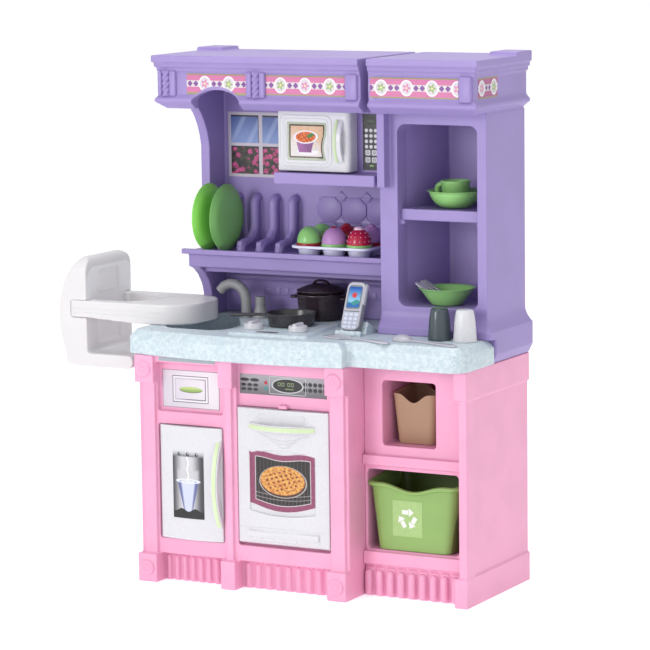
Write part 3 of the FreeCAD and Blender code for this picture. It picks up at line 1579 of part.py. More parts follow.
def oval(middle, length, width, first=0):
    # Points round an oval, anticlockwise from its right-hand end
    turn = 360 / size.spoon_sides
    return [(middle + length / 2 * cosine(number * turn), width / 2 * sine(number * turn))
            for number in range(first, int(size.spoon_sides.value))]


def serving_spoon():
    # An oval bowl with a hollow, then a neck that widens to the grip
    piece = Moulding("serving_spoon")
    length = size.serving_bowl_length
    width = size.serving_bowl_width
    half = size.utensil_neck_width / 2
    grip = size.utensil_grip_width / 2
    neck_start = length / 2 + half
    grip_start = size.serving_length - size.utensil_grip_length
    piece.pad("XY", 0, size.utensil_thickness, oval(0, length, width, 1) + [
        (neck_start, -half), (grip_start, -half), (grip_start + size.utensil_shoulder, -grip),
        (size.serving_length, -grip, size.spoon_end_rounding),
        (size.serving_length, grip, size.spoon_end_rounding),
        (grip_start + size.utensil_shoulder, grip), (grip_start, half), (neck_start, half)])
    rim = 2 * size.spoon_rim
    piece.pocket("XY", size.utensil_thickness / 2, size.utensil_thickness, oval(0, length - rim, width - rim))
    piece.stand(size.serving_spoon_x, size.serving_spoon_y, counter + size.rest_gap,
                (0, 0, 1), size.utensil_angle)


def cutlery(label, offset, head):
    # Each piece stands on the lower bowl's floor and leans on its left rim
    piece = Moulding(label)
    piece.pad("XY", 0, size.cutlery_thickness, head)
    rim = size.bowl_rim_diameter / 2
    farthest = size.cutlery_spacing + size.cutlery_head_width / 2
    reach = size.cutlery_start + root(rim * rim - farthest * farthest)
    lean = arctangent((size.bowl_height - size.bowl_wall + size.cutlery_rim_gap) / reach)
    floor = size.tower_opening_bottom + size.bowl_wall + 2 * size.rest_gap
    piece.stand(size.lower_bowl_x + size.cutlery_start, size.lower_bowl_y + offset, floor, (0, 1, 0), lean)


def spoon():
    length = size.cutlery_head_length
    start = -size.cutlery_length
    neck = size.cutlery_neck_width / 2
    grip = size.cutlery_grip_width / 2
    cutlery("spoon", -size.cutlery_spacing, oval(start + length / 2, length, size.cutlery_head_width, 1) + [
        (start + length, -neck), (0, -grip, size.cutlery_rounding),
        (0, grip, size.cutlery_rounding), (start + length, neck)])


def knife():
    length = size.cutlery_head_length
    start = -size.cutlery_length
    neck = size.cutlery_neck_width / 2
    grip = size.cutlery_grip_width / 2
    cutlery("knife", 0, [
        (start, neck), Bow(neck), (start + length, -grip), (start + length + grip, -neck),
        (0, -grip, size.cutlery_rounding), (0, grip, size.cutlery_rounding), (start + length, neck)])


def fork():
    length = size.cutlery_head_length
    start = -size.cutlery_length
    neck = size.cutlery_neck_width / 2
    grip = size.cutlery_grip_width / 2
    half = size.cutlery_head_width / 2
    tine = size.fork_tine
    root_x = start + length / 2
    cutlery("fork", size.cutlery_spacing, mirrored([
        (root_x, -tine / 2 - size.fork_gap), (start, -tine / 2 - size.fork_gap), (start, -half),
        (start + length * 2 / 3, -half), (start + length, -neck), (0, -grip, size.cutlery_rounding)])
        + [(root_x, tine / 2), (start, tine / 2), (start, -tine / 2), (root_x, -tine / 2)])


def leaned(across, along):
    # From the telephone's own depth and length to the worktop's depth and height
    y = size.phone_y + across * cosine(size.phone_lean) + along * sine(size.phone_lean)
    z = counter + size.phone_seat_height - across * sine(size.phone_lean) + along * cosine(size.phone_lean)
    return (y, z)


def phone_cradle():
    piece = Moulding("phone_cradle")
    half = size.phone_thickness / 2 + size.cradle_clearance
    seat = -size.cradle_clearance
    cradle_back = size.cradle_front + size.cradle_length
    piece.pad("YZ", size.cradle_left, size.cradle_left + size.cradle_width, [
        (size.cradle_front, counter), (cradle_back, counter), (cradle_back, counter + size.cradle_lip / 2),
        leaned(half, size.cradle_height), leaned(half, seat), leaned(-half, seat),
        leaned(-half, size.cradle_lip), (size.cradle_front, counter + size.cradle_lip)])


def phone():
    piece = Moulding("phone")
    half = size.phone_width / 2
    depth = size.phone_thickness / 2
    piece.pad("XZ", -depth, depth, cut_rectangle(-half, half, 0, size.phone_length, size.phone_corner))
    screen = size.phone_screen_width / 2
    screen_top = size.phone_length - size.phone_screen_top
    piece.pocket("XZ", -depth, size.phone_screen_depth - depth, rectangle(
        -screen, screen, screen_top - size.phone_screen_length, screen_top))
    key_half = size.phone_key_size / 2
    rows = size.phone_key_rows
    for number in range(3):
        across = (number - 1) * size.phone_key_pitch
        key = piece.pad("XZ", -depth - size.phone_screen_depth, -depth, rectangle(
            across - key_half, across + key_half,
            size.phone_key_bottom, size.phone_key_bottom + size.phone_key_size))
        piece.repeat(key, "Z", size.phone_key_pitch, rows)
    piece.stand(size.phone_x, size.phone_y, counter + size.phone_seat_height, (1, 0, 0), -size.phone_lean)


def tray_cups():
    for row in range(2):
        for place in range(3):
            x = size.tray_left + size.tray_side_margin + place * size.tray_pitch
            y = size.tray_front + size.tray_end_margin + row * size.tray_pitch
            yield x, y


def muffin_tray():
    piece = Moulding("muffin_tray")
    bottom = size.shelf_top + size.rest_gap
    top = bottom + size.tray_height
    piece.pad("XY", bottom, top, cut_rectangle(
        size.tray_left, size.tray_left + 2 * (size.tray_pitch + size.tray_side_margin),
        size.tray_front, size.tray_front + size.tray_pitch + 2 * size.tray_end_margin, size.tray_corner))
    for x, y in tray_cups():
        piece.pocket("XY", top - size.tray_cup_depth, top,
                     Polygon(x, y, size.tray_cup_diameter, size.cake_sides))


def cupcakes():
    cakes = []
    floor = size.shelf_top + size.rest_gap + size.tray_height - size.tray_cup_depth + size.rest_gap
    foot = size.tray_cup_diameter - 2 * (size.cake_clearance + size.cake_liner_flare)
    flare = (size.cake_diameter - foot) / 2
    narrowing = (size.cake_diameter - size.cake_top_diameter) / 2
    dome = size.cake_height - size.cake_liner_height
    for number, (x, y) in enumerate(tray_cups(), start=1):
        cake = Moulding(f"cupcake_{number}")
        cake.pad("XY", -size.cake_liner_height, 0, Polygon(0, 0, size.cake_diameter, size.cake_sides))
        cake.taper(arctangent(flare / size.cake_liner_height), True)
        cake.pad("XY", 0, dome, Polygon(0, 0, size.cake_diameter, size.cake_sides))
        cake.taper(arctangent(narrowing / dome), False)
        cake.bevel_edges(size.cake_crown_bevel, lambda edge: at_height(edge, dome))
        cake.stand(x, y, floor + size.cake_liner_height)
        cakes.append(cake.body)
        del sub_parts[cake.body.Label]
    batch = doc.addObject("Part::Compound", "cupcakes")
    batch.Label = "cupcakes"
    batch.Links = cakes
    sub_parts["cupcakes"] = batch


def paper_bin():
    piece = Moulding("kraft_bin")
    half = size.paper_bin_width / 2
    height = size.paper_bin_height
    taper = size.paper_bin_taper
    wall = size.paper_bin_wall

    def foot(inset):
        return cut_rectangle(taper + inset - half, half - taper - inset,
                             taper + inset, size.paper_bin_length - taper - inset, size.paper_bin_corner)

    lean = arctangent(taper / height)
    piece.pad("XY", 0, height, foot(0))
    piece.taper(lean, True)
    piece.pocket("XY", wall, height, foot(wall))
    piece.taper(lean, False)
    scoop = half - 2 * size.paper_bin_corner
    piece.pocket("XZ", 0, taper + 2 * wall, [
        (-scoop, height), Bow(size.paper_bin_scoop), (scoop, height)])
    piece.stand(size.paper_bin_left + half, size.paper_bin_front, size.cubby_bottom + size.rest_gap)


def recycling_bin():
    # Its front is an upright panel that is wider than the tapered walls behind
    piece = Moulding("recycling_bin")
    half = size.crate_width / 2
    height = size.crate_height
    taper = size.crate_taper
    wall = size.crate_wall
    corner = size.crate_corner
    panel = size.crate_rim_thickness

    def foot(inset):
        side = half - taper - inset
        end = panel + size.crate_length - taper - inset
        return [(-side, inset), (side, inset), (side, end - corner), (side - corner, end),
                (corner - side, end), (-side, end - corner)]

    def behind_panel(face):
        return is_upright(face) and face.CenterOfMass.y > 2 * panel.value

    lean = arctangent(taper / height)
    piece.pad("XY", 0, height, foot(0))
    piece.taper(lean, True, behind_panel)
    piece.pad("XZ", 0, panel, [
        (taper - size.crate_rim_width / 2, 0), (size.crate_rim_width / 2 - taper, 0),
        (size.crate_rim_width / 2, height), (-size.crate_rim_width / 2, height)])
    piece.pocket("XY", wall, height, foot(wall))
    piece.taper(lean, False, behind_panel)
    dip = half - corner
    piece.pocket("XZ", 0, panel + size.crate_length, [(-dip, height), Bow(size.crate_dip), (dip, height)])
    piece.stand(size.bin_bay_left + size.bin_bay_width / 2, right_face - size.crate_front_gap - panel,
                size.bin_bay_bottom + size.crate_floor_gap)


def doll_seat():
    # An upright shell with a straight inner face, and the pan at its foot
    piece = Moulding("doll_seat")
    seat_back = size.seat_front + size.seat_width
    pan_top = size.seat_bottom + size.seat_pan_thickness
    piece.pad("XZ", size.seat_front, seat_back, [
        (size.seat_back_foot, size.seat_bottom, size.seat_pan_rounding),
        (size.seat_pan_front, size.seat_bottom, size.seat_pan_rounding),
        (size.seat_pan_front, pan_top, size.seat_pan_rounding), (size.seat_rest, pan_top),
        (size.seat_rest, size.seat_top, size.seat_crown_rounding), (size.seat_back_top, size.seat_top),
        Bow(size.seat_back_bow), (size.seat_back_foot, pan_top)])
    border = size.seat_panel_border
    piece.pocket("YZ", size.seat_rest - size.seat_panel_depth, size.seat_rest, rectangle(
        size.seat_front + border, seat_back - border, size.seat_panel_bottom, size.seat_panel_top))
    rounding = size.seat_top_rounding
    for edge_y, inward in ((size.seat_front, 1), (seat_back, -1)):
        corner = [
            (edge_y, size.seat_top), (edge_y, size.seat_top - rounding),
            Bow(-inward * rounding * (1 - root(as_size(0.5)))), (edge_y + inward * rounding, size.seat_top)]
        piece.pocket("YZ", size.seat_back_foot - size.seat_back_bow, size.seat_rest, corner)
    arm = size.tray_arm_width
    for low in (size.seat_front, seat_back - arm):
        piece.pocket("XY", size.tray_arm_bottom, size.tray_ring_top, rectangle(
            size.tray_ring_left, size.seat_rest, low, low + arm))


def seat_tray():
    piece = Moulding("seat_tray")
    seat_back = size.seat_front + size.seat_width
    arm = size.tray_arm_width
    bottom = counter + size.rest_gap
    piece.pad("XY", bottom, size.tray_ring_top, [
        (size.tray_ring_left, size.seat_front),
        (size.tray_ring_right, size.seat_front, size.tray_end_rounding),
        (size.tray_ring_right, seat_back, size.tray_end_rounding),
        (size.tray_ring_left, seat_back)])
    piece.pocket("XY", bottom, size.tray_ring_top, [
        (size.tray_ring_left, size.seat_front + arm),
        (size.tray_hole_right, size.seat_front + arm, size.tray_hole_rounding),
        (size.tray_hole_right, seat_back - arm, size.tray_hole_rounding),
        (size.tray_ring_left, seat_back - arm)])
    piece.pocket("XZ", size.seat_front, seat_back, [
        (size.tray_ring_left, bottom), (size.tray_hole_right, bottom),
        (size.seat_rest, size.tray_arm_bottom),
        (size.tray_ring_left, size.tray_arm_bottom)])
    edge = size.tray_edge
    piece.pocket("XY", size.tray_ring_top - size.tray_recess, size.tray_ring_top, cut_rectangle(
        size.tray_hole_right + edge, size.tray_ring_right - edge, size.seat_front + arm, seat_back - arm,
        size.tray_hole_rounding / 2))


def check_model():
    faults = [thing.Label for thing in doc.Objects if "Invalid" in thing.State or "Error" in thing.State]
    for thing in doc.Objects:
        if thing.TypeId in ("PartDesign::Pocket", "PartDesign::Groove"):
            if thing.Shape.Volume > thing.BaseFeature.Shape.Volume - 1:
                faults.append(f"{thing.Label} cuts nothing")
    for label, piece in sub_parts.items():
        if piece.Shape.isNull() or not piece.Shape.isValid():
            faults.append(label)
    if faults:
        raise RuntimeError("Not built: " + ", ".join(faults))


def write_parts():
    os.makedirs("parts", exist_ok=True)
    for label, piece in sub_parts.items():
        piece.Shape.exportStep(f"parts/{label}.step")


lower_left_cabinet()
lower_right_cabinet()
fridge_door()
oven_door()
countertop()
upper_hutch()
upper_tower()
tower_shelf()
microwave_door()
hob_knob("hob_knob_left", size.knob_left_x)
hob_knob("hob_knob_right", size.knob_right_x)
tap_spout()
tap_valve()
plate("plate_front", size.plate_front_x)
plate("plate_rear", size.plate_rear_x)
bowl("upper_bowl", size.upper_bowl_x, size.upper_bowl_y, size.slat_shelf_top)
bowl("lower_bowl", size.lower_bowl_x, size.lower_bowl_y, size.tower_opening_bottom)
cup()
spoon()
knife()
fork()
pot()
pot_lid()
frying_pan()
tumbler("white_tumbler", size.white_tumbler_x, size.white_tumbler_y)
tumbler("dark_tumbler", size.dark_tumbler_x, size.dark_tumbler_y)
spatula()
serving_spoon()
phone_cradle()
phone()
muffin_tray()
cupcakes()
paper_bin()
recycling_bin()
doll_seat()
seat_tray()

doc.recompute()
check_model()
write_parts()
print(len(sub_parts), "sub-parts written")
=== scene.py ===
import json
import math
import random

import bmesh
import bpy
from mathutils import Matrix, Vector
from mathutils.bvhtree import BVHTree


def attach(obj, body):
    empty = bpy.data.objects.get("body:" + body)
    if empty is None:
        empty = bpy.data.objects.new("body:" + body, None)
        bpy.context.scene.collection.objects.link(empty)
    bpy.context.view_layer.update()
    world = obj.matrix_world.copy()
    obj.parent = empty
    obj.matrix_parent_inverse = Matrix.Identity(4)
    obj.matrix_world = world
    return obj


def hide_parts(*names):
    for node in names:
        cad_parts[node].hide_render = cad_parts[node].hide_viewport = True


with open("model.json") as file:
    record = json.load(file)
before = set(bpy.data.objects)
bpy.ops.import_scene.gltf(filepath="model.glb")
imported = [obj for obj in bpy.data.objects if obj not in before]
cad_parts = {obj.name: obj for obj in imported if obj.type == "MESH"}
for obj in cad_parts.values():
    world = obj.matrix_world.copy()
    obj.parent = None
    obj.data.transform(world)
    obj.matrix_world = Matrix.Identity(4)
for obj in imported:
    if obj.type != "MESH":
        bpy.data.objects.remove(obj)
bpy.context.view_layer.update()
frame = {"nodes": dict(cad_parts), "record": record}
record = frame["record"]
mm = 0.001
scene = bpy.context.scene
bodyOf = {node: body for body, nodes in record["behaviour"]["bodies"].items() for node in nodes}
chance = random.Random(7)


def tone(*levels):
    # a colour as a screen shows it, from 0 to 255, in the shader's linear scale
    return tuple(((level / 255 + 0.055) / 1.055) ** 2.4 for level in levels)


# Shader sums: a Wire is a socket that arithmetic can use, and a Finish is the material it belongs to
class Wire:
    def __init__(self, finish, socket):
        self.finish = finish
        self.socket = socket

    def __add__(self, other):
        return self.finish.math("ADD", self, other)

    def __radd__(self, other):
        return self.finish.math("ADD", other, self)

    def __sub__(self, other):
        return self.finish.math("SUBTRACT", self, other)

    def __rsub__(self, other):
        return self.finish.math("SUBTRACT", other, self)

    def __mul__(self, other):
        return self.finish.math("MULTIPLY", self, other)

    def __rmul__(self, other):
        return self.finish.math("MULTIPLY", other, self)

    def __truediv__(self, other):
        return self.finish.math("DIVIDE", self, other)

    def __mod__(self, other):
        return self.finish.math("FLOORED_MODULO", self, other)

    def __pow__(self, other):
        return self.finish.math("POWER", self, other)

    def __lt__(self, other):
        return self.finish.math("LESS_THAN", self, other)

    def __gt__(self, other):
        return self.finish.math("GREATER_THAN", self, other)

    def __and__(self, other):
        return self.finish.math("MINIMUM", self, other)

    def __or__(self, other):
        return self.finish.math("MAXIMUM", self, other)

    def __abs__(self):
        return self.finish.math("ABSOLUTE", self)


class Finish:
    def __init__(self, name):
        self.material = bpy.data.materials.new(name)
        self.material.use_nodes = True
        self.tree = self.material.node_tree
        self.shader = self.tree.nodes["Principled BSDF"]

    # the one way in which any other node is made
    def node(self, kind, settings=None, sockets=None, output=0):
        made = self.tree.nodes.new(kind)
        for name, value in (settings or {}).items():
            setattr(made, name, value)
        for name, value in (sockets or {}).items():
            if isinstance(value, Wire):
                self.tree.links.new(value.socket, made.inputs[name])
            else:
                made.inputs[name].default_value = value
        return Wire(self, made.outputs[output])

    def math(self, operation, *values):
        return self.node("ShaderNodeMath", {"operation": operation}, dict(enumerate(values)))

    def vector(self, operation, *values):
        return self.node("ShaderNodeVectorMath", {"operation": operation}, dict(enumerate(values)))

    def mix(self, share, first, second):
        first, second = (
            (*colour, 1) if isinstance(colour, tuple) else colour for colour in (first, second))
        return self.node("ShaderNodeMix", {"data_type": "RGBA"}, {0: share, 6: first, 7: second}, 2)

    def place(self):
        return self.node("ShaderNodeTexCoord", output="Object")

    def axes(self, place):
        split = self.node("ShaderNodeSeparateXYZ", sockets={0: place}).socket.node
        return [Wire(self, socket) for socket in split.outputs]

    def print(self, width, height):
        # a sticker's own axes in millimetres from its middle
        across, along, _ = self.axes(self.node("ShaderNodeUVMap"))
        return (across - 0.5) * width, (along - 0.5) * height

    def flat(self, x, y):
        return self.node("ShaderNodeCombineXYZ", None, {0: x, 1: y})

    def noise(self, scale, detail=2, place=None):
        return self.node("ShaderNodeTexNoise", None, {
            "Vector": place or self.place(), "Scale": scale, "Detail": detail})

    def cells(self, scale, place=None):
        return self.node("ShaderNodeTexVoronoi", None, {
            "Vector": place or self.place(), "Scale": scale}, "Distance")

    def span(self, value, low, high, first=0, last=1):
        return self.node("ShaderNodeMapRange", {"interpolation_type": "SMOOTHSTEP"}, {
            "Value": value, "From Min": low, "From Max": high, "To Min": first, "To Max": last})

    def bump(self, height, depth):
        return self.node("ShaderNodeBump", None, {"Height": height, "Distance": depth, "Strength": 1})

    # how far a point lies outside an oval or a block, in millimetres
    def oval(self, x, y, middleX, middleY, radiusX, radiusY):
        across, along = (x - middleX) / radiusX, (y - middleY) / radiusY
        return ((across * across + along * along) ** 0.5 - 1) * min(radiusX, radiusY)

    def block(self, x, y, middleX, middleY, halfX, halfY, corner=0.01):
        across, along = abs(x - middleX) - (halfX - corner), abs(y - middleY) - (halfY - corner)
        outer, upper = across | 0, along | 0
        return (outer * outer + upper * upper) ** 0.5 + ((across | along) & 0) - corner

    # colour goes on wherever the distance is below nought
    def paint(self, ground, distance, colour, soft=0.3, strength=1):
        return self.mix(self.span(distance, -soft, soft, strength, 0), ground, colour)

    # a link goes to the shader's socket, and a plain number is set on it
    def wear(self, **sockets):
        for name, value in sockets.items():
            target = self.shader.inputs[name.replace("_", " ")]
            if isinstance(value, Wire):
                self.tree.links.new(value.socket, target)
            else:
                target.default_value = (*value, 1) if target.type == "RGBA" else value
        return self.material

    def printed(self, colour, roughness=0.34, dulled=0.17):
        # printed film: a little darker than its inks, glossy, with a faint ripple
        ripple = self.noise(60, 1)
        return self.wear(
            Base_Color=self.mix(dulled, colour, (0, 0, 0)),
            Roughness=self.span(ripple, 0.3, 0.7, roughness, roughness + 0.08),
            Normal=self.bump(ripple, 0.0002), Coat_Weight=0.15, Coat_Roughness=0.15)


def moulded(name, colour, roughness=0.42, depth=0.00008, glow=0.1, grain=700, marked=None, cloud=0.03):
    # moulded polyethylene: a cloudy tone, a fine orange-peel skin and a little light inside
    finish = Finish(name)
    skin = finish.noise(grain, 2)
    dark = tuple(level * (1 - cloud) for level in colour)
    light = tuple(min(level * (1 + cloud), 1) for level in colour)
    cloudy = finish.mix(finish.span(finish.noise(9, 3), 0.35, 0.65), dark, light)
    return finish.wear(
        Base_Color=marked(finish, cloudy) if marked else cloudy,
        Roughness=finish.span(skin, 0.3, 0.7, roughness - 0.06, roughness + 0.06),
        Normal=finish.bump(skin + finish.noise(160, 1) * 1.5, depth),
        Subsurface_Weight=glow, Subsurface_Radius=(0.9, 0.6, 0.7), Subsurface_Scale=0.004)


def speckledWorktop():
    # pale aqua with dark flecks of several sizes and milky patches
    finish = Finish("speckledWorktop")
    place = finish.place()
    wander = finish.node("ShaderNodeTexNoise", None, {"Vector": place, "Scale": 300, "Detail": 2}, "Color")
    bent = finish.vector("ADD", place, finish.vector("MULTIPLY", wander, (0.003, 0.003, 0.003)))
    milk = finish.span(finish.noise(110, 4), 0.36, 0.66)
    colour = finish.mix(milk, tone(180, 196, 204), tone(197, 209, 215))
    for scale, limit, fleck, strength in (
            (210, 0.16, tone(142, 158, 170), 0.6), (360, 0.18, tone(160, 174, 184), 0.6),
            (130, 0.11, tone(124, 140, 155), 0.7), (500, 0.2, tone(238, 244, 246), 0.5)):
        distance = finish.cells(scale, bent)
        sparse = finish.noise(scale / 5, 1) > 0.5
        colour = finish.mix(finish.span(distance, limit, limit + 0.08, strength, 0) * sparse, colour, fleck)
    skin = finish.noise(900, 2)
    return finish.wear(
        Base_Color=colour, Roughness=finish.span(skin, 0.3, 0.7, 0.36, 0.48),
        Normal=finish.bump(skin + finish.noise(150, 1) * 2, 0.00008),
        Subsurface_Weight=0.08, Subsurface_Scale=0.004)


# painted light on the face of the seat's back: where it lies and the lighter tone it is painted
seatPaintedLight = {"middle": (1, 500), "half": (87, 112), "corner": 30, "behind": -520, "before": -500,
            "colour": tone(224, 224, 225), "strength": 0.9}
# painted shade inside the recycling bin: where it lies and how dark it is
binPaintedShade = {"middle": (219, 0), "half": (90, 76), "corner": 12, "colour": tone(76, 92, 32), "strength": 0.75}


def paintSeatLight(finish, colour):
    # painted light: the face of the seat's back is painted lighter than the rest of the seat, to lift the
    # shade it gets from the lamps
    x, y, z = (axis * 1000 for axis in finish.axes(finish.place()))
    face = finish.block(y, z, *seatPaintedLight["middle"], *seatPaintedLight["half"], seatPaintedLight["corner"])
    facing = (x > seatPaintedLight["behind"]) * (x < seatPaintedLight["before"])
    return finish.mix(finish.span(face, -1, 1, seatPaintedLight["strength"], 0) * facing, colour, seatPaintedLight["colour"])


def paintBinShade(finish, colour):
    # painted shade: darker inside the bin's walls, where the walls shade the hollow
    x, y, _ = (axis * 1000 for axis in finish.axes(finish.place()))
    hollow = finish.block(x, y, *binPaintedShade["middle"], *binPaintedShade["half"], binPaintedShade["corner"])
    return finish.mix(finish.span(hollow, -2, 0, binPaintedShade["strength"], 0), colour, binPaintedShade["colour"])


finishes = {
    "pink": moulded("pinkMoulding", tone(226, 157, 189)),
    "purple": moulded("purpleMoulding", tone(145, 128, 184)),
    "worktop": speckledWorktop(),
    "white": moulded("whiteShell", tone(203, 203, 208), 0.26, 0.00004, 0.1, 500, None, 0.01),
    # the seat's finish carries the painted light on the face of its back
    "seat": moulded("seatWhite", tone(208, 206, 208), 0.34, 0.00005, 0.15, 500, paintSeatLight, 0.01),
    "sage": moulded("sageInlay", tone(196, 214, 172), 0.35, 0.00003),
    "grey": moulded("greyTap", tone(146, 146, 148), 0.36, 0.00004, 0.02),
    "knobGrey": moulded("paleGreyKnob", tone(196, 196, 202), 0.32, 0.00003, 0.05),
    "green": moulded("bowlGreen", tone(137, 190, 114), 0.28, 0.00002, 0.12),
    "bright": moulded("plateBright", tone(148, 230, 102), 0.32, 0.00002, 0.12),
    "olive": moulded("plateDull", tone(120, 178, 100), 0.42, 0.00002, 0.05),
    "plum": moulded("potPlum", tone(48, 36, 44), 0.24, 0.00003, 0),
    "charcoal": moulded("panCharcoal", tone(54, 52, 56), 0.24, 0.00003, 0),
    "slate": moulded("tumblerSlate", tone(66, 76, 82), 0.2, 0.00002, 0),
    "lilac": moulded("trayLilac", tone(212, 212, 232), 0.28, 0.00002, 0.12),
    "silver": moulded("utensilSilver", tone(176, 176, 186), 0.22, 0.00002, 0.02),
    # the bin's finish carries the painted shade inside its walls
    "pale": moulded("binPaleGreen", tone(132, 168, 92), 0.34, 0.00004, 0.1, 700, paintBinShade),
    "kraft": moulded("binTan", tone(164, 132, 106), 0.6, 0.00006, 0.05),
    "dark": moulded("darkPlastic", tone(44, 44, 50), 0.3, 0.00002, 0),
    "cakeGreen": moulded("cakeGreen", tone(132, 190, 112), 0.2, 0.00002, 0.1),
    "cakeLilac": moulded("cakeLilac", tone(176, 130, 186), 0.3, 0.00004, 0.1),
    "cakeCrimson": moulded("cakeCrimson", tone(176, 20, 62), 0.18, 0.00002, 0.1),
    "cakeRed": moulded("cakeRed", tone(150, 14, 34), 0.22, 0.00002, 0.1),
    "cream": moulded("cakeCream", tone(230, 196, 216), 0.3, 0.00002, 0.15),
    "phoneCase": moulded("phoneCase", tone(118, 120, 128), 0.22, 0.00002, 0),
    "phoneKey": moulded("phoneKey", tone(196, 202, 222), 0.3, 0.00002, 0),
}
finishOf = {
    "lower_left_cabinet": "pink", "lower_right_cabinet": "pink", "countertop": "worktop",
    "upper_hutch": "purple", "upper_tower": "purple", "tower_shelf": "purple", "phone_cradle": "worktop",
    "fridge_door": "white", "oven_door": "white", "microwave_door": "white",
    "fridge_handle_inlay": "sage", "oven_handle_inlay": "sage",
    "hob_knob_left": "knobGrey", "hob_knob_right": "knobGrey", "tap_spout": "grey", "tap_valve": "grey",
    "plate_front": "bright", "plate_rear": "olive", "upper_bowl": "green", "lower_bowl": "green",
    "cup": "green", "pot": "plum", "pot_lid": "plum", "frying_pan": "charcoal", "white_tumbler": "white",
    "dark_tumbler": "slate", "spatula": "silver", "serving_spoon": "silver", "spoon": "silver",
    "knife": "silver", "fork": "silver", "phone": "lilac", "muffin_tray": "lilac", "cupcakes": "cakeGreen",
    "kraft_bin": "kraft", "recycling_bin": "pale", "doll_seat": "seat", "seat_tray": "seat",
}
for node, thing in frame["nodes"].items():
    thing.data.materials.clear()
    thing.data.materials.append(finishes[finishOf[node]])
print("finishes are mixed:", len(finishes))


# Mesh making: every size below is in millimetres, and the meshes are in metres
def addPiece(name, mesh, node, finish, smooth=0, instead=False):
    # a piece joins the body of a node, and with instead the node itself is hidden
    piece = bpy.data.objects.new(name, mesh)
    scene.collection.objects.link(piece)
    mesh.materials.clear()
    mesh.materials.append(finishes.get(finish, finish))
    mesh.shade_smooth()
    if smooth:
        piece.modifiers.new("round", "SUBSURF").render_levels = smooth
        piece.modifiers["round"].levels = smooth
    else:
        mesh.set_sharp_from_angle(angle=math.radians(42))
    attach(piece, bodyOf[node])
    if instead:
        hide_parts(node)
    return piece


def skinned(name, rings):
    # a closed skin over rings of points, with both ends filled
    count = len(rings[0])
    last = (len(rings) - 1) * count
    faces = [(low + side, low + (side + 1) % count, low + count + (side + 1) % count, low + count + side)
             for low in range(0, last, count) for side in range(count)]
    faces += [tuple(reversed(range(count))), tuple(range(last, last + count))]
    mesh = bpy.data.meshes.new(name)
    mesh.from_pydata([Vector(spot) * mm for ring in rings for spot in ring], [], faces)
    work = bmesh.new()
    work.from_mesh(mesh)
    bmesh.ops.remove_doubles(work, verts=work.verts, dist=0.000001)
    bmesh.ops.recalc_face_normals(work, faces=work.faces)
    work.to_mesh(mesh)
    work.free()
    return mesh


def joined(name, meshes):
    work = bmesh.new()
    for mesh in meshes:
        work.from_mesh(mesh)
    whole = bpy.data.meshes.new(name)
    work.to_mesh(whole)
    work.free()
    return whole


def turned(name, profile, middle, axis="up", sides=48, wobble=None):
    # a profile of radius and height turned round an axis through its middle
    bases = {"up": ((1, 0, 0), (0, 1, 0), (0, 0, 1)), "right": ((0, 1, 0), (0, 0, 1), (1, 0, 0)),
             "front": ((1, 0, 0), (0, 0, 1), (0, -1, 0))}
    first, second, rise = (Vector(base) for base in bases[axis]) if isinstance(axis, str) else axis
    rings = []
    for radius, height in profile:
        ring = []
        for side in range(sides):
            angle = side * math.tau / sides
            reach = radius * (wobble(angle, height) if wobble else 1)
            ring.append(Vector(middle) + (first * math.cos(angle) + second * math.sin(angle)) * reach
                        + rise * height)
        rings.append(ring)
    return skinned(name, rings)


def curved(points, steps=6):
    # a smooth line through the points
    points = [Vector(spot) for spot in points]
    ends = [points[0] * 2 - points[1], *points, points[-1] * 2 - points[-2]]
    line = []
    for a, b, c, d in zip(ends, ends[1:], ends[2:], ends[3:]):
        for step in range(steps):
            t = step / steps
            line.append((b * 2 + (c - a) * t + (a * 2 - b * 5 + c * 4 - d) * t * t
                         + (b * 3 - a - c * 3 + d) * t ** 3) * 0.5)
    return [*line, points[-1]]


def tube(name, points, radius, sides=14, flat=1, side=None):
    # a bar along a line, with one radius or a radius at each point
    points = [Vector(spot) for spot in points]
    last = len(points) - 1
    radii = radius if isinstance(radius, list) else [radius] * len(points)
    side = Vector(side) if side else None
    rings = []
    for place, spot in enumerate(points):
        along = (points[min(place + 1, last)] - points[max(place - 1, 0)]).normalized()
        side = side or along.orthogonal()
        side = (side - along * side.dot(along)).normalized()
        over = along.cross(side) * flat
        rings.append([spot + (side * math.cos(turn * math.tau / sides) + over * math.sin(
            turn * math.tau / sides)) * radii[place] for turn in range(sides)])
    return skinned(name, rings)


def bar(name, start, end, radius, flat=1, side=None, sides=14):
    # a straight bar with round ends
    start, end = Vector(start), Vector(end)
    along = (end - start).normalized()
    turns = [step * math.pi / 10 for step in range(6)]
    points = [start + along * radius * (1 - math.cos(turn)) for turn in turns]
    points += [end - along * radius * (1 - math.cos(turn)) for turn in reversed(turns)]
    radii = [radius * math.sin(turn) for turn in turns]
    return tube(name, points, [*radii, *reversed(radii)], sides, flat, side)


def roundedBlock(left, right, low, high, corner, steps=5):
    # the outline of a block with round corners
    outline = []
    for middleA, middleB, start in ((right - corner, high - corner, 0), (left + corner, high - corner, 1),
                                    (left + corner, low + corner, 2), (right - corner, low + corner, 3)):
        for step in range(steps + 1):
            turn = (start + step / steps) * math.pi / 2
            outline.append((middleA + corner * math.cos(turn), middleB + corner * math.sin(turn)))
    return outline


def slab(name, outline, stations, spot):
    # an outline carried through stations of (depth, inset share), each point placed by spot(a, b, depth)
    middleA = sum(a for a, _ in outline) / len(outline)
    middleB = sum(b for _, b in outline) / len(outline)
    widest = max(abs(a - middleA) for a, _ in outline)
    highest = max(abs(b - middleB) for _, b in outline)
    rings = []
    for depth, inset in stations:
        shareA, shareB = 1 - inset / widest, 1 - inset / highest
        rings.append([spot(middleA + (a - middleA) * shareA, middleB + (b - middleB) * shareB, depth)
                      for a, b in outline])
    return skinned(name, rings)


def settled(thing):
    # the mesh that a thing's modifiers give
    shown = thing.evaluated_get(bpy.context.evaluated_depsgraph_get())
    return bpy.data.meshes.new_from_object(shown)


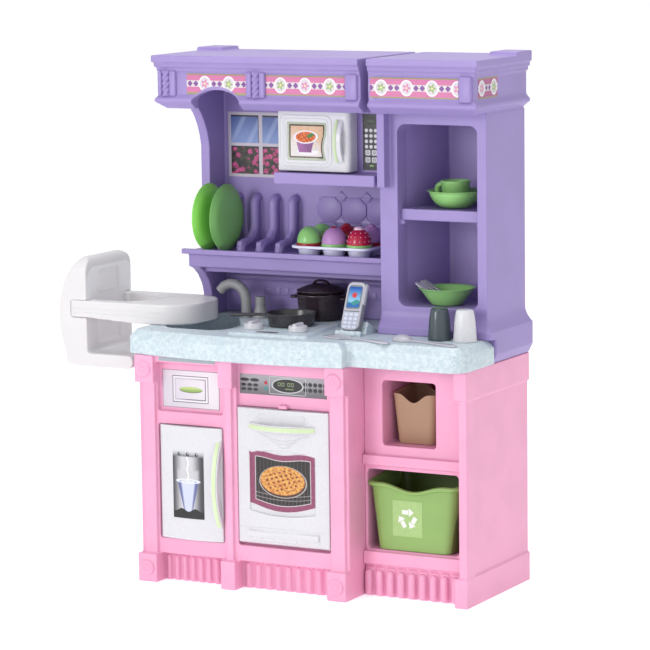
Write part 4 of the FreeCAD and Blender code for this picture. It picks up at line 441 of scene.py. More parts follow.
def softened(node, voxel, rounds, keep, shape=None):
    # a copy of a moulded solid with its edges rolled over, as it comes from the mould
    work = bmesh.new()
    work.from_mesh(frame["nodes"][node].data)
    bmesh.ops.remove_doubles(work, verts=work.verts, dist=0.00002)
    mesh = bpy.data.meshes.new(node + "_soft")
    work.to_mesh(mesh)
    work.free()
    thing = bpy.data.objects.new(node + "_work", mesh)
    scene.collection.objects.link(thing)
    step = voxel * (2 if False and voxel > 0.0012 else 1)  # coarser voxels for quick tries, switched off by the False
    net = thing.modifiers.new("net", "REMESH")
    net.mode = "VOXEL"
    net.voxel_size = step
    ease = thing.modifiers.new("ease", "SMOOTH")
    ease.factor = 0.5
    ease.iterations = rounds
    thing.data = settled(thing)
    thing.modifiers.clear()
    if shape:
        for vertex in thing.data.vertices:
            vertex.co = shape(vertex.co / mm, vertex.normal) * mm
    thin = thing.modifiers.new("thin", "DECIMATE")
    thin.ratio = min(keep * (step / voxel) ** 2, 1)
    mesh = settled(thing)
    bpy.data.objects.remove(thing)
    piece = addPiece(node + "_shell", mesh, node, finishOf[node], instead=True)
    mesh.set_sharp_from_angle(angle=math.pi)
    even = piece.modifiers.new("even", "WEIGHTED_NORMAL")
    even.weight = 100
    print("softened", node, len(mesh.polygons))
    return piece


tapGrowth = 0.9  # makes up for the width that easing takes off a thin round part


def fuller(spot, normal):
    return spot + normal * tapGrowth


shells = {
    node: softened(node, voxel, rounds, keep, fuller if node.startswith("tap") else None)
    for node, voxel, rounds, keep in (
        ("lower_left_cabinet", 0.002, 3, 0.14), ("lower_right_cabinet", 0.002, 3, 0.14),
        ("countertop", 0.002, 6, 0.15), ("upper_hutch", 0.002, 3, 0.14), ("upper_tower", 0.002, 3, 0.14),
        ("tower_shelf", 0.0015, 3, 0.3), ("fridge_door", 0.0014, 3, 0.3), ("oven_door", 0.0014, 3, 0.3),
        ("microwave_door", 0.0014, 3, 0.3), ("doll_seat", 0.002, 16, 0.25), ("seat_tray", 0.002, 14, 0.25),
        ("phone_cradle", 0.001, 4, 0.3), ("tap_spout", 0.0008, 5, 0.3), ("tap_valve", 0.0008, 4, 0.3),
        ("hob_knob_left", 0.0008, 4, 0.3), ("hob_knob_right", 0.0008, 4, 0.3),
        ("spatula", 0.0008, 3, 0.3), ("serving_spoon", 0.0008, 4, 0.3), ("spoon", 0.0006, 3, 0.3),
        ("knife", 0.0006, 3, 0.3), ("fork", 0.0006, 2, 0.4))
}
skins = {}


def landed(node, facing, a, b, start):
    # where a line from one side meets a piece, in millimetres
    across, up, inward = sidesOf[facing]
    if node not in skins:
        mesh = shells[node].data
        skins[node] = BVHTree.FromPolygons([vertex.co for vertex in mesh.vertices],
                                           [face.vertices for face in mesh.polygons])
    origin = across * a + up * b + Vector(abs(part) for part in inward) * start
    found = skins[node].ray_cast(origin * mm, inward)[0]
    return found / mm if found else None


sidesOf = {  # across, up and inward of the side that a sticker or moulding lies on
    "front": (Vector((1, 0, 0)), Vector((0, 0, 1)), Vector((0, 1, 0))),
    "right": (Vector((0, 1, 0)), Vector((0, 0, 1)), Vector((-1, 0, 0))),
    "top": (Vector((1, 0, 0)), Vector((0, 1, 0)), Vector((0, 0, -1))),
}
print("shells are soft:", len(shells))


# Mouldings of the pink cabinets
toeKicks = {
    "fridge": {"node": "lower_left_cabinet", "start": -310, "end": -163, "count": 8, "face": -127},
    "oven": {"node": "lower_left_cabinet", "start": -131, "end": 73, "count": 9, "face": -127},
    "right": {"node": "lower_right_cabinet", "start": 115, "end": 325, "count": 9, "face": -89},
}
flute = {"share": 0.34, "depth": 8, "low": 0.5, "high": 53}  # share of the pitch that half a flute takes
for name, facts in toeKicks.items():
    pitch = (facts["end"] - facts["start"]) / facts["count"]
    radius = pitch * flute["share"]
    ribs = []
    for index in range(facts["count"]):
        middle, front = facts["start"] + pitch * (index + 0.5) - 1, facts["face"] - 1
        ribs.append(bar("rib", (middle, front, flute["low"]), (middle, front, flute["high"]), radius,
                        flute["depth"] / radius, (1, 0, 0)))
    addPiece("toe_flutes_" + name, joined("flutes", ribs), facts["node"], "pink")

rosette = {
    "columns": (-331, 94), "heights": (28.5, 429.5), "face": -168.5,
    "profile": ((0, 6.2), (3, 5.9), (4.6, 4.6), (6, 4.3), (7.3, 5.3), (8.6, 5.3), (9.8, 4.1), (11, 3.9),
                (12.4, 4.7), (13.8, 4.4), (15.6, 3), (16.2, 0), (16.2, -3), (0, -3)),
}
for column in rosette["columns"]:
    for height in rosette["heights"]:
        addPiece(f"rosette_{column}_{height:.0f}".replace("-", "m"),
                 turned("rosette", rosette["profile"], (column, rosette["face"], height), "front"),
                 "lower_left_cabinet", "pink")

# Mouldings of the purple hutch: rope pilasters, octagon tiles, rack bars, small tiles
pilasters = {"front": -78, "back": -60, "low": 963, "high": 1013, "rope": 9, "twist": 0.18, "strands": 3,
             "clear": 8.5, "steps": 60,  # room for a rope on each side of its middle, and rings along it
             "hutch": ((-341, -300, -323), (-141, -99, -120), (77, 103, None)), "tower": ((319, 345, None),)}


def upright(a, b, depth):
    # for a slab whose face looks to the front
    return a, depth, b


def pilaster(name, node, left, right, rope):
    # a raised block, and where it carries a rope the block is split round it
    low, high, front, clear = (pilasters[name] for name in ("low", "high", "front", "clear"))
    spans = ((left, right),) if rope is None else ((left, rope - clear), (rope + clear, right))
    blocks = [slab("block", roundedBlock(start, end, low, high, 2.5, 2), (
        (front + 0.3, 2.4), (front + 1.4, 0.7), (front + 3.4, 0), (pilasters["back"], 0)),
        upright) for start, end in spans]
    addPiece(name, joined("pilaster", blocks), node, "purple")
    if rope is None:
        return
    steps = pilasters["steps"]
    profile = [(0, low)]
    profile += [(pilasters["rope"], low + (high - low) * step / steps) for step in range(steps + 1)]
    profile.append((0, high))
    twisted = turned("rope", profile, (rope, front + 7, 0), "up", 36, lambda angle, height: (
        0.72 + 0.3 * abs(math.cos(pilasters["strands"] * (angle - height * pilasters["twist"]) / 2))))
    addPiece(name + "_rope", twisted, node, "purple")


for index, (left, right, rope) in enumerate(pilasters["hutch"]):
    pilaster(f"hutch_pilaster_{index}", "upper_hutch", left, right, rope)
pilaster("tower_pilaster", "upper_tower", *pilasters["tower"][0])

octagons = {"first": -80, "pitch": 57, "columns": 4, "low": 671, "rise": 53, "half": (27, 25), "cut": 15,
            "studRows": (644.5, 697.5, 750.5), "stud": (13, 12, 12.4), "wall": 150}


def octagon(middleX, middleZ, halfX, halfZ, cut):
    return [(middleX + a * halfX - (a * cut if flat else 0), middleZ + b * halfZ - (0 if flat else b * cut))
            for a, b, flat in ((1, 1, 1), (1, 1, 0), (1, -1, 0), (1, -1, 1), (-1, -1, 1), (-1, -1, 0),
                               (-1, 1, 0), (-1, 1, 1))]


tiles = []
for column in range(octagons["columns"]):
    for row in range(2):
        middle = (octagons["first"] + column * octagons["pitch"], octagons["low"] + row * octagons["rise"])
        tiles.append(slab("tile", octagon(*middle, *octagons["half"], octagons["cut"]), (
            (octagons["wall"] - 1.6, 2), (octagons["wall"] - 0.4, 0), (octagons["wall"] + 6, 0)), upright))
    for height in octagons["studRows"]:
        corner = (octagons["first"] + (column + 0.5) * octagons["pitch"], height)
        tiles.append(slab("stud", octagon(*corner, *octagons["stud"]), (
            (octagons["wall"] - 2.2, 1.4), (octagons["wall"] - 1.2, 0), (octagons["wall"] + 6, 0)), upright))
addPiece("wall_tiles", joined("tiles", tiles), "upper_hutch", "purple")

smallTiles = {"first": -232, "pitch": 20, "count": 17, "low": 543, "side": 17, "start": -60, "nearest": 60}
tiles = []
for index in range(smallTiles["count"]):
    left, low, side = smallTiles["first"] + index * smallTiles["pitch"], smallTiles["low"], smallTiles["side"]
    wall = landed("upper_hutch", "front", left + side / 2, low + 8, smallTiles["start"])
    if wall and wall.y > smallTiles["nearest"]:
        tiles.append(slab("tile", roundedBlock(left, left + side, low, low + side, 2, 2), (
            (wall.y - 1.8, 1.6), (wall.y - 0.8, 0), (wall.y + 4, 0)), upright))
addPiece("small_tiles", joined("smallTiles", tiles), "upper_hutch", "purple")

rack = {"first": -155, "pitch": -44, "ribs": 4, "radius": 9.6,
        "line": ((152, 743), (140, 741), (134, 733), (133.5, 716), (133.5, 694), (131, 679), (121, 664),
                 (106, 657), (90, 655.5), (80, 653), (75.5, 646), (75, 636))}
bars = []
for index in range(rack["ribs"]):
    across = rack["first"] + rack["pitch"] * index
    bars.append(tube("rackBar", curved([(across, *spot) for spot in rack["line"]], 4), rack["radius"], 18))
addPiece("rack_bars", joined("rackBars", bars), "upper_hutch", "purple")
print("mouldings are on")


# Dishes and pans, turned on a lathe
dishes = {
    "plate": ((0, 3.4), (40, 3.2), (54, 1.6), (61, -2), (66.6, -5.4), (68.1, -6), (68.3, -5.2), (67.4, -4.2),
              (62, -0.4), (55, 4.2), (44, 6), (0, 6)),
    "lower_bowl": ((0, 0), (27, 0), (30, 0.6), (31.5, 2.4), (36, 8), (43, 17), (49.5, 27), (52, 30.4),
                   (56, 32.4), (56.4, 33.4), (55.8, 34), (52.4, 33), (50, 31.4), (47.4, 27.6), (41, 17.4),
                   (34, 8.6), (28.5, 3.4), (0, 2.8)),
    "upper_bowl": ((0, 0), (25, 0), (28.5, 0.8), (36, 5), (43, 12), (47.8, 20), (48.6, 22.4), (49.6, 22.8),
                   (51.4, 29), (52.6, 31), (55.8, 32.6), (56.3, 33.4), (55.8, 34), (52, 32.8), (49.6, 29.4),
                   (47, 22), (41.4, 13), (34.6, 7), (27, 3), (0, 2.6)),
    "cup": ((0, 0), (21, 0), (23.6, 0.8), (24.6, 3), (25.6, 18), (26.8, 34), (28.4, 45), (29.5, 49),
            (29.4, 50), (28.4, 50), (27, 46), (25.2, 34), (23.8, 18), (22.6, 5), (20, 3), (0, 2.8)),
    "tumbler": ((0, 62), (11, 62), (15, 61.2), (17, 58.8), (18, 54), (18.9, 48), (19.1, 46.4), (19.5, 46),
                (20.6, 34), (22.2, 12), (23, 2), (23.1, 0.4), (22.6, 0), (21.7, 0.4), (20.6, 14), (18, 44),
                (16.4, 56), (12, 59), (0, 59)),
    "pot": ((0, 0), (39, 0), (42, 0.8), (44, 3), (47.4, 30), (49, 47), (50.2, 48.4), (50.6, 51), (50, 53),
            (48.4, 53), (47.2, 50), (45.4, 30), (42, 6), (38, 3.4), (0, 3)),
    "pot_lid": ((0, 15), (12, 14.6), (24, 12.6), (36, 8.8), (45, 4.4), (48, 3.6), (50.2, 2.4), (50.4, 0.8),
                (49, -0.2), (46, -0.4), (45.6, -3.6), (44, -3.8), (43.4, 0.4), (34, 5), (0, 9)),
    "frying_pan": ((0, 0), (40, 0), (43.4, 0.8), (45, 3), (47.6, 16), (49, 24.4), (50, 25.6), (50, 26.6),
                   (49, 27), (47.4, 26.2), (46.2, 22), (44, 8), (41, 4), (36, 3), (0, 3)),
}
dishPlaces = {
    "plate_front": ("plate", (-309, 70, 708.5), "right"), "plate_rear": ("plate", (-268, 70, 708.5), "right"),
    "lower_bowl": ("lower_bowl", (232, 48, 560.3), "up"),
    "upper_bowl": ("upper_bowl", (245, 62, 749.3), "up"),
    "cup": ("cup", (245, 62, 752.1), "up"), "dark_tumbler": ("tumbler", (262, -48.5, 505.3), "up"),
    "white_tumbler": ("tumbler", (316, -48.5, 505.3), "up"), "pot": ("pot", (-66, 86, 510.3), "up"),
    "pot_lid": ("pot_lid", (-66, 86, 567.6), "up"), "frying_pan": ("frying_pan", (-78, -19, 510.3), "up"),
}
for node, (shape, middle, axis) in dishPlaces.items():
    addPiece(node + "_turned", turned(shape, dishes[shape], middle, axis), node, finishOf[node], 1, True)

cupHandle = {"line": ((24, 41), (32, 41), (38.5, 37), (40, 28), (37, 19), (30, 13), (22, 12)), "radius": 3.4}
cupMiddle = Vector(dishPlaces["cup"][1])
line = curved([cupMiddle + Vector((-reach, 0, rise)) for reach, rise in cupHandle["line"]], 5)
addPiece("cup_handle", tube("handle", line, cupHandle["radius"], 12, 1.5, (0, 1, 0)), "cup", "green")

potX, potY, potFoot = dishPlaces["pot"][1]
potEars = {"reach": 44, "height": 45, "droop": 0.05, "outline": (
    (0, 22), (0, -22), (14, -19), (20, -15), (22.5, -8), (22.9, 0), (22.5, 8), (20, 15), (14, 19))}


def potEar(sign):
    # a flat ear that tapers outward and droops a little
    def spot(a, b, depth):
        return (potX + sign * (potEars["reach"] + a), potY + b,
                potFoot + potEars["height"] + depth - potEars["droop"] * a)

    return slab("ear", potEars["outline"], ((-3, 2), (-2, 0.4), (1.5, 0), (3, 1.6)), spot)


addPiece("pot_ears", joined("ears", [potEar(-1), potEar(1)]), "pot", "plum", 1)
lidLoop = {"line": ((-17, 11), (-15, 16), (-9, 19.6), (0, 20.6), (9, 19.6), (15, 16), (17, 11)),
           "radius": 2.3}
lidX, lidY, lidFoot = dishPlaces["pot_lid"][1]
line = curved([(lidX + a, lidY, lidFoot + rise) for a, rise in lidLoop["line"]], 4)
addPiece("lid_loop", tube("loop", line, lidLoop["radius"], 12, 2.2, (0, 0, 1)), "pot_lid", "plum")

panHandle = {"angle": 207, "flat": 0.55, "line": (  # reach, rise and radius
    (42, 22, 4), (50, 22.6, 4.4), (62, 23, 5.2), (86, 23, 6.6), (108, 22.8, 7.4), (117, 22.6, 7),
    (121, 22.4, 4.4), (121.8, 22.4, 0.4))}
panX, panY, panFoot = dishPlaces["frying_pan"][1]
turn = math.radians(panHandle["angle"])
line = [(panX + math.cos(turn) * reach, panY + math.sin(turn) * reach, panFoot + rise)
        for reach, rise, _ in panHandle["line"]]
addPiece("pan_handle", tube("panHandle", line, [radius for _, _, radius in panHandle["line"]], 14,
                            panHandle["flat"], (-math.sin(turn), math.cos(turn), 0)),
         "frying_pan", "charcoal", 1)

# The serving spoon lies face down, so its bowl shows as a low dome
spoonBowl = {"middle": (202, -88, 505.4), "angle": -15.8, "share": 34 / 46, "profile": (
    (0, 0), (22.6, 0), (23.2, 1), (22.8, 2.6), (20.6, 6), (16, 9.4), (9, 11.4), (0, 12.2))}


def spoonOval(angle, height):
    turn = angle - math.radians(spoonBowl["angle"])
    return 1 / math.hypot(math.cos(turn), math.sin(turn) / spoonBowl["share"])


addPiece("serving_spoon_bowl", turned("bowl", spoonBowl["profile"], spoonBowl["middle"], "up", 48, spoonOval),
         "serving_spoon", "silver")
print("dishes are turned")


# The muffin tray is a thin flange with six hanging cups, and each holds a cake
muffins = {
    "columns": (-81, -25, 31), "rows": (66, 120), "edge": (-114, 64, 38, 148), "corner": 22,
    "flange": ((656.6, 1.4), (656.2, 0.4), (657, -0.6), (659, -0.9), (661.4, -0.6), (662.2, 0.4),
               (661.8, 1.6), (659.8, 3)),
    "cup": ((0, 640.3), (17, 640.3), (19.4, 641.2), (20.6, 643), (23.4, 656), (24.4, 659.4), (24.6, 661),
            (0, 661)),
    "case": ((0, 660), (24.8, 660), (25.6, 661.6), (25.6, 665.2), (24.8, 666.6), (0, 666.6)),
    "dome": ((0, 664), (24.6, 664), (25, 668), (24.4, 674), (22.4, 682), (18.6, 689.4), (13, 695),
             (6.6, 698.2), (0, 699.2)),
}
tray = slab("flange", roundedBlock(*muffins["edge"], muffins["corner"], 6), muffins["flange"],
            lambda a, b, depth: (a, b, depth))
addPiece("tray_flange", tray, "muffin_tray", "lilac", 1, True)
cups = [turned("cup", muffins["cup"], (across, along, 0))
        for across in muffins["columns"] for along in muffins["rows"]]
addPiece("tray_cups", joined("cups", cups), "muffin_tray", "lilac")
cakes = (  # column, row, colour of the cake, colour of its case, topping
    (0, 0, "cakeGreen", "cakeRed", "smooth"), (1, 0, "cakeLilac", "cakeGreen", "cherry"),
    (2, 0, "cakeCrimson", "cakeGreen", "cream"), (0, 1, "cakeGreen", "cakeRed", "beads"),
    (1, 1, "cakeRed", "cakeGreen", "swirl"), (2, 1, "cakeLilac", "cakeRed", "swirl"),
)


icing = {
    "crownHeight": 697, "crownSize": {"cherry": 6.6, "cream": 10.5, "swirl": 8}, "crownFlat": 0.52,
    "crownColour": {"cherry": "cakeRed", "cream": "cream"},
    "beaded": {"beads": "cakeGreen", "cream": "cream", "cherry": "cakeLilac"},
    "rings": ((0.35, 6), (0.7, 10), (1.0, 13), (1.28, 15)),  # tilt from the top, and count of beads
    "domeFoot": 664, "domeHeight": 35, "domeRadius": 25.1,
    "bead": ((0, -1), (0.9, -0.6), (1.2, 0), (0.8, 0.8), (0, 1.1)),
}


def swirl(angle, height):
    return 1 + 0.09 * math.sin(5 * angle - height * 0.32) - 0.06


def crownSwirl(angle, height):
    return 1 + 0.07 * math.sin(6 * angle - height * 0.5)


def crownOf(topping, middle):
    size = icing["crownSize"][topping]
    profile = []
    for step in range(9):
        turn = step * math.pi / 8
        profile.append((size * math.sin(turn), -size * icing["crownFlat"] * math.cos(turn) + 0.4))
    place = middle + Vector((0, 0, icing["crownHeight"]))
    return turned("crown", profile, place, "up", 30, None if topping == "cherry" else crownSwirl)


def beadsOn(middle):
    # beads in rings over the dome, each a little off its even place
    beads = []
    for ring, (tilt, count) in enumerate(icing["rings"]):
        rise = icing["domeFoot"] + icing["domeHeight"] * math.cos(tilt)
        reach = icing["domeRadius"] * math.sin(tilt) ** 0.9
        for spot in range(count):
            angle = (spot + 0.5 * (ring % 2) + chance.uniform(-0.1, 0.1)) * math.tau / count
            place = middle + Vector((math.cos(angle) * reach, math.sin(angle) * reach, rise))
            beads.append(turned("bead", icing["bead"], place, "up", 8))
    return beads


for index, (column, row, colour, case, topping) in enumerate(cakes):
    middle = Vector((muffins["columns"][column], muffins["rows"][row], 0))
    addPiece(f"cake_case_{index}", turned("case", muffins["case"], middle), "cupcakes", case)
    dome = turned("dome", muffins["dome"], middle, "up", 60, swirl if topping == "swirl" else None)
    addPiece(f"cake_dome_{index}", dome, "cupcakes", colour, 1, index == 0)
    if topping in icing["crownSize"]:
        addPiece(f"cake_top_{index}", crownOf(topping, middle), "cupcakes",
                 icing["crownColour"].get(topping, colour), 1)
    if topping in icing["beaded"]:
        addPiece(f"cake_beads_{index}", joined("beads", beadsOn(middle)), "cupcakes",
                 icing["beaded"][topping])
print("cakes are iced:", len(cakes))


# The bins: a tapered shell of rounded rings whose rim dips in the middle and falls towards the front
bins = {
    "kraft_bin": {
        "foot": (170, 250, -52, 42), "low": 298.3, "rim": (162.4, 257.6, -59.6, 49.6), "high": 404.2,
        "wall": 2.5, "corner": 14, "dip": 17, "lip": 0, "fall": 7},
    "recycling_bin": {
        "foot": (139, 299, -84, 53), "low": 92.5, "rim": (123, 315, -85.6, 61.3), "high": 240.4,
        "wall": 3, "corner": 19, "dip": 14, "lip": 5, "fall": 15},
}
binWave = {"cornerSteps": 6, "sideSteps": 14, "waveFrom": 0.45, "dipReach": 0.7}


def stepped(outline):
    # more points on the four straight sides, so that the rim can dip
    points, cornerPoints = [], binWave["cornerSteps"] + 1
    for index, (a, b) in enumerate(outline):
        nextA, nextB = outline[(index + 1) % len(outline)]
        parts = binWave["sideSteps"] if index % cornerPoints == cornerPoints - 1 else 1
        for part in range(parts):
            points.append((a + (nextA - a) * part / parts, b + (nextB - b) * part / parts))
    return points


def binShell(name, facts):
    rimLeft, rimRight, rimFront, rimBack = facts["rim"]
    middle, reach = (rimLeft + rimRight) / 2, (rimRight - rimLeft) / 2
    wall, lip = facts["wall"], facts["lip"]

    def ring(share, inset, rise=0):
        sides = [foot + (rim - foot) * share for foot, rim in zip(facts["foot"], facts["rim"])]
        outline = stepped(roundedBlock(
            sides[0] + inset, sides[1] - inset, sides[2] + inset, sides[3] - inset,
            max(facts["corner"] - max(inset, 0) * 0.6, 1.5), binWave["cornerSteps"]))
        height = facts["low"] + (facts["high"] - facts["low"]) * share + rise
        ease = max(share - binWave["waveFrom"], 0) / (1 - binWave["waveFrom"])
        points = []
        for a, b in outline:
            wave = math.cos(min(abs(a - middle) / reach / binWave["dipReach"], 1) * math.pi / 2) ** 2
            forward = (rimBack - b) / (rimBack - rimFront)
            points.append((a, b, height - ease * (facts["dip"] * wave + facts["fall"] * forward)))
        return points

    outside = [ring(0, 3), ring(0, 0.8, 0.8), ring(0, 0, 3)]
    outside += [ring(share, 0) for share in (0.3, 0.45, 0.6, 0.8, 0.925)]
    rolled = [ring(share, -lip * part - more) for share, part, more in (
        (0.93, 0.7, 0), (0.945, 1, 0), (0.97, 1, 0.5), (0.99, 1, 0), (1, 0.4, 0))]
    inside = [ring(0.998, wall * 0.6)]
    inside += [ring(share, wall) for share in (0.985, 0.93, 0.8, 0.6, 0.45, 0.03)]
    return skinned(name + "_bin", [*outside, *rolled, *inside, ring(0.02, wall + 3)])


for node, facts in bins.items():
    addPiece(node + "_shell", binShell(node, facts), node, finishOf[node], 0, True)
print("bins are moulded")


# The handset leans back in its cradle: a and b lie on its face and depth goes inward from it
phone = {"left": 54, "lean": 24, "front": (-71.1, 515.0), "keys": {
    "left": 7, "low": 5, "pitch": (10.6, 8.4), "size": (8.6, 6.2), "corner": 2.2}}


def onPhone(a, b, depth):
    lean = math.radians(phone["lean"])
    y, z = phone["front"]
    return (phone["left"] + a, y + b * math.sin(lean) + depth * math.cos(lean),
            z + b * math.cos(lean) - depth * math.sin(lean))


def phoneSlab(name, left, right, low, high, corner, stations, finish, smooth=0, instead=False):
    return addPiece(name, slab(name, roundedBlock(left, right, low, high, corner), stations, onPhone),
                    "phone", finish, smooth, instead)


phoneSlab("phone_case", 0.5, 43.5, 0.5, 101.5, 13, (
    (20, 5), (18.6, 2), (15, 0.3), (10, 0), (5, 0.2), (2.4, 1.4), (1.2, 3.2)), "phoneCase", 1, True)
phoneSlab("phone_face", 2.8, 41.2, 2.8, 99.2, 11, ((4, 0), (1.6, 0), (0.7, 0.8), (0.5, 1.8)), "silver")
phoneSlab("phone_screen_frame", 6.4, 37.6, 44, 93, 7, ((1.2, 0), (0.2, 0.2), (0, 1)), "phoneCase")
phoneSlab("phone_seam", 5, 39, 39.4, 40.8, 0.6, ((1.2, 0), (0.1, 0.2)), "dark")
phoneSlab("phone_clip", 40.4, 44, 55, 97, 1.7, ((12, 0.6), (11, 0), (3, 0), (1.6, 0.8)), "silver")
addPiece("phone_aerial", bar("aerial", onPhone(32, 95, 8), onPhone(33, 101.2, 8), 4, 0.8), "phone", "silver")
keys = phone["keys"]
for row in range(4):
    for column in range(3):
        left, low = keys["left"] + column * keys["pitch"][0], keys["low"] + row * keys["pitch"][1]
        phoneSlab(f"phone_key_{row}_{column}", left, left + keys["size"][0], low, low + keys["size"][1],
                  keys["corner"], ((1.5, 0), (-0.3, 0.2), (-0.8, 1)), "phoneKey")
print("handset is keyed")


# Stickers: thin closed sheets that lie on the moulding behind them
sheet = {"front": -0.55, "back": 0.4}  # how far its two faces lie from the moulding


def sticker(name, node, facing, start, area, finish, columns=20, rows=10, bend=None, flowing=False):
    # area is left, right, low and high; bend(s, t) may move a point of the sheet within its side
    left, right, low, high = area
    across, up, inward = sidesOf[facing]
    work = bmesh.new()
    layer = work.loops.layers.uv.new("print")
    where, fronts, backs, spots = {}, [], [], {}
    for column in range(columns + 1):
        for row in range(rows + 1):
            s, t = column / columns, row / rows
            a, b = bend(s, t) if bend else (left + (right - left) * s, low + (high - low) * t)
            ground = landed(node, facing, a, b, start)
            spots[column, row] = (s, t, a, b, ground.dot(inward) if ground else None)
    depths = sorted(spot[4] for spot in spots.values() if spot[4] is not None)
    print(name, "lies at", round(depths[0], 1), round(depths[-1], 1), len(spots) - len(depths), "missed")
    for column in range(columns + 1):
        fronts.append([])
        backs.append([])
        for row in range(rows + 1):
            s, t, a, b, depth = spots[column, row]
            depth = depths[len(depths) // 2] if depth is None else depth
            flatSpot = across * a + up * b
            for pile, offset in ((fronts, sheet["front"]), (backs, sheet["back"])):
                vertex = work.verts.new((flatSpot + inward * (depth + offset)) * mm)
                where[vertex] = (s, t) if flowing else ((a - left) / (right - left), (b - low) / (high - low))
                pile[-1].append(vertex)
    for column in range(columns):
        for row in range(rows):
            for pile in (fronts, backs):
                work.faces.new((pile[column][row], pile[column + 1][row],
                                pile[column + 1][row + 1], pile[column][row + 1]))
    rim = [(column, 0) for column in range(columns)] + [(columns, row) for row in range(rows)]
    rim += [(column, rows) for column in range(columns, 0, -1)] + [(0, row) for row in range(rows, 0, -1)]
    for (column, row), (nextColumn, nextRow) in zip(rim, rim[1:] + rim[:1]):
        work.faces.new((fronts[column][row], fronts[nextColumn][nextRow],
                        backs[nextColumn][nextRow], backs[column][row]))
    bmesh.ops.recalc_face_normals(work, faces=work.faces)
    for face in work.faces:
        for loop in face.loops:
            loop[layer].uv = where[loop.vert]
    mesh = bpy.data.meshes.new(name)
    work.to_mesh(mesh)
    work.free()
    return addPiece(name, mesh, node, finish)


def sizeOf(area):
    left, right, low, high = area
    return right - left, high - low


def ridge(name, node, facing, start, points, radius, closed=False, finish=None):
    # a thin raised line along points of a side
    across, up, inward = sidesOf[facing]
    line = []
    for a, b in points:
        ground = landed(node, facing, a, b, start)
        depth = ground.dot(inward) + radius * 0.2 if ground else line[-1].dot(inward)
        line.append(across * a + up * b + inward * depth)
    if closed:
        line += line[:2]
    return addPiece(name, tube(name, line, radius, 8), node, finish or finishOf[node])


def arc(left, right, ends, crown, steps=14):
    return [(left + (right - left) * step / steps, ends + (crown - ends) * math.sin(math.pi * step / steps))
            for step in range(steps + 1)]


ovenRelief = {
    "start": -300, "middle": -27, "crescents": ((316, 303, 58), (314, 296, 48), (312, 289, 38)),
    "loop": (-82, 22, 344, 354, 4.8), "band": (-108, 50, 110.5, 121.5, 2, 3), "bandOn": (-29, 125),
    "drawerLine": {"first": -126, "pitch": 10, "count": 20, "height": 128},
    "marks": {"across": range(-100, 60, 25), "top": 124, "pitch": 5, "count": 5, "radius": 1.1},
}


def ovenRidge(name, points, radius, closed=False):
    return ridge(name, "oven_door", "front", ovenRelief["start"], points, radius, closed)


for index, (ends, crown, reach) in enumerate(ovenRelief["crescents"]):
    middle = ovenRelief["middle"]
    ovenRidge(f"oven_crescent_{index}", arc(middle - reach, middle + reach, ends, crown), 1.5)
ovenRidge("oven_loop", roundedBlock(*ovenRelief["loop"]), 1, True)
drawerLine = ovenRelief["drawerLine"]
ovenRidge("oven_drawer_line", [(drawerLine["first"] + step * drawerLine["pitch"], drawerLine["height"])
                               for step in range(drawerLine["count"])], 1)
bandFront = landed("oven_door", "front", *ovenRelief["bandOn"], ovenRelief["start"]).y
addPiece("oven_vent_band", slab("band", roundedBlock(*ovenRelief["band"]), (
    (bandFront - 0.7, 0.8), (bandFront - 0.3, 0), (bandFront + 3, 0)), upright), "oven_door", "white")
marks = ovenRelief["marks"]
for across in marks["across"]:
    ovenRidge(f"oven_drawer_mark_{across}".replace("-", "m"),
              [(across, marks["top"] - step * marks["pitch"]) for step in range(marks["count"])],
              marks["radius"])

microwaveRelief = {"start": -200, "frame": (-98, 16, 826, 926, 14), "innerFrame": (-90, 8, 832, 920, 8),
                   "inlay": {"across": 30, "low": 838, "pitch": 8, "count": 11, "radius": 3.6}}
seatRelief = {"start": -450, "panel": (-46, 34, 560, 606, 9),
              "grooves": {"start": -200, "heights": (530, 521), "first": -546, "pitch": 10, "count": 23}}
ridge("microwave_frame", "microwave_door", "front", microwaveRelief["start"],
      roundedBlock(*microwaveRelief["frame"]), 1.4, True)
inlay = microwaveRelief["inlay"]
ridge("microwave_inlay", "microwave_door", "front", microwaveRelief["start"],
      [(inlay["across"], inlay["low"] + step * inlay["pitch"]) for step in range(inlay["count"])],
      inlay["radius"], False, "sage")
ridge("seat_panel_line", "doll_seat", "right", seatRelief["start"],
      roundedBlock(*seatRelief["panel"]), 1.2, True)
grooves = seatRelief["grooves"]
for index, height in enumerate(grooves["heights"]):
    ridge(f"tray_groove_{index}", "seat_tray", "front", grooves["start"],
          [(grooves["first"] + step * grooves["pitch"], height) for step in range(grooves["count"])], 1)
ridge("microwave_inner_frame", "microwave_door", "front", microwaveRelief["start"],
      roundedBlock(*microwaveRelief["innerFrame"]), 0.9, True)

frieze = {
    "pitch": 54, "low": 968.5, "high": 1007.5, "start": -300,
    "mid": (-101, 76), "right": (125, 316), "side": (-52, 34), "arch": (-277, -141),
    "archEnds": (-264, -157), "archFoot": 956, "archCrown": 978,
    # the side frieze's ground is painted darker than the front's: painted shade for the side that faces away
    # from the light
    "ground": tone(208, 112, 162), "sideShadedGround": tone(176, 84, 140),
}


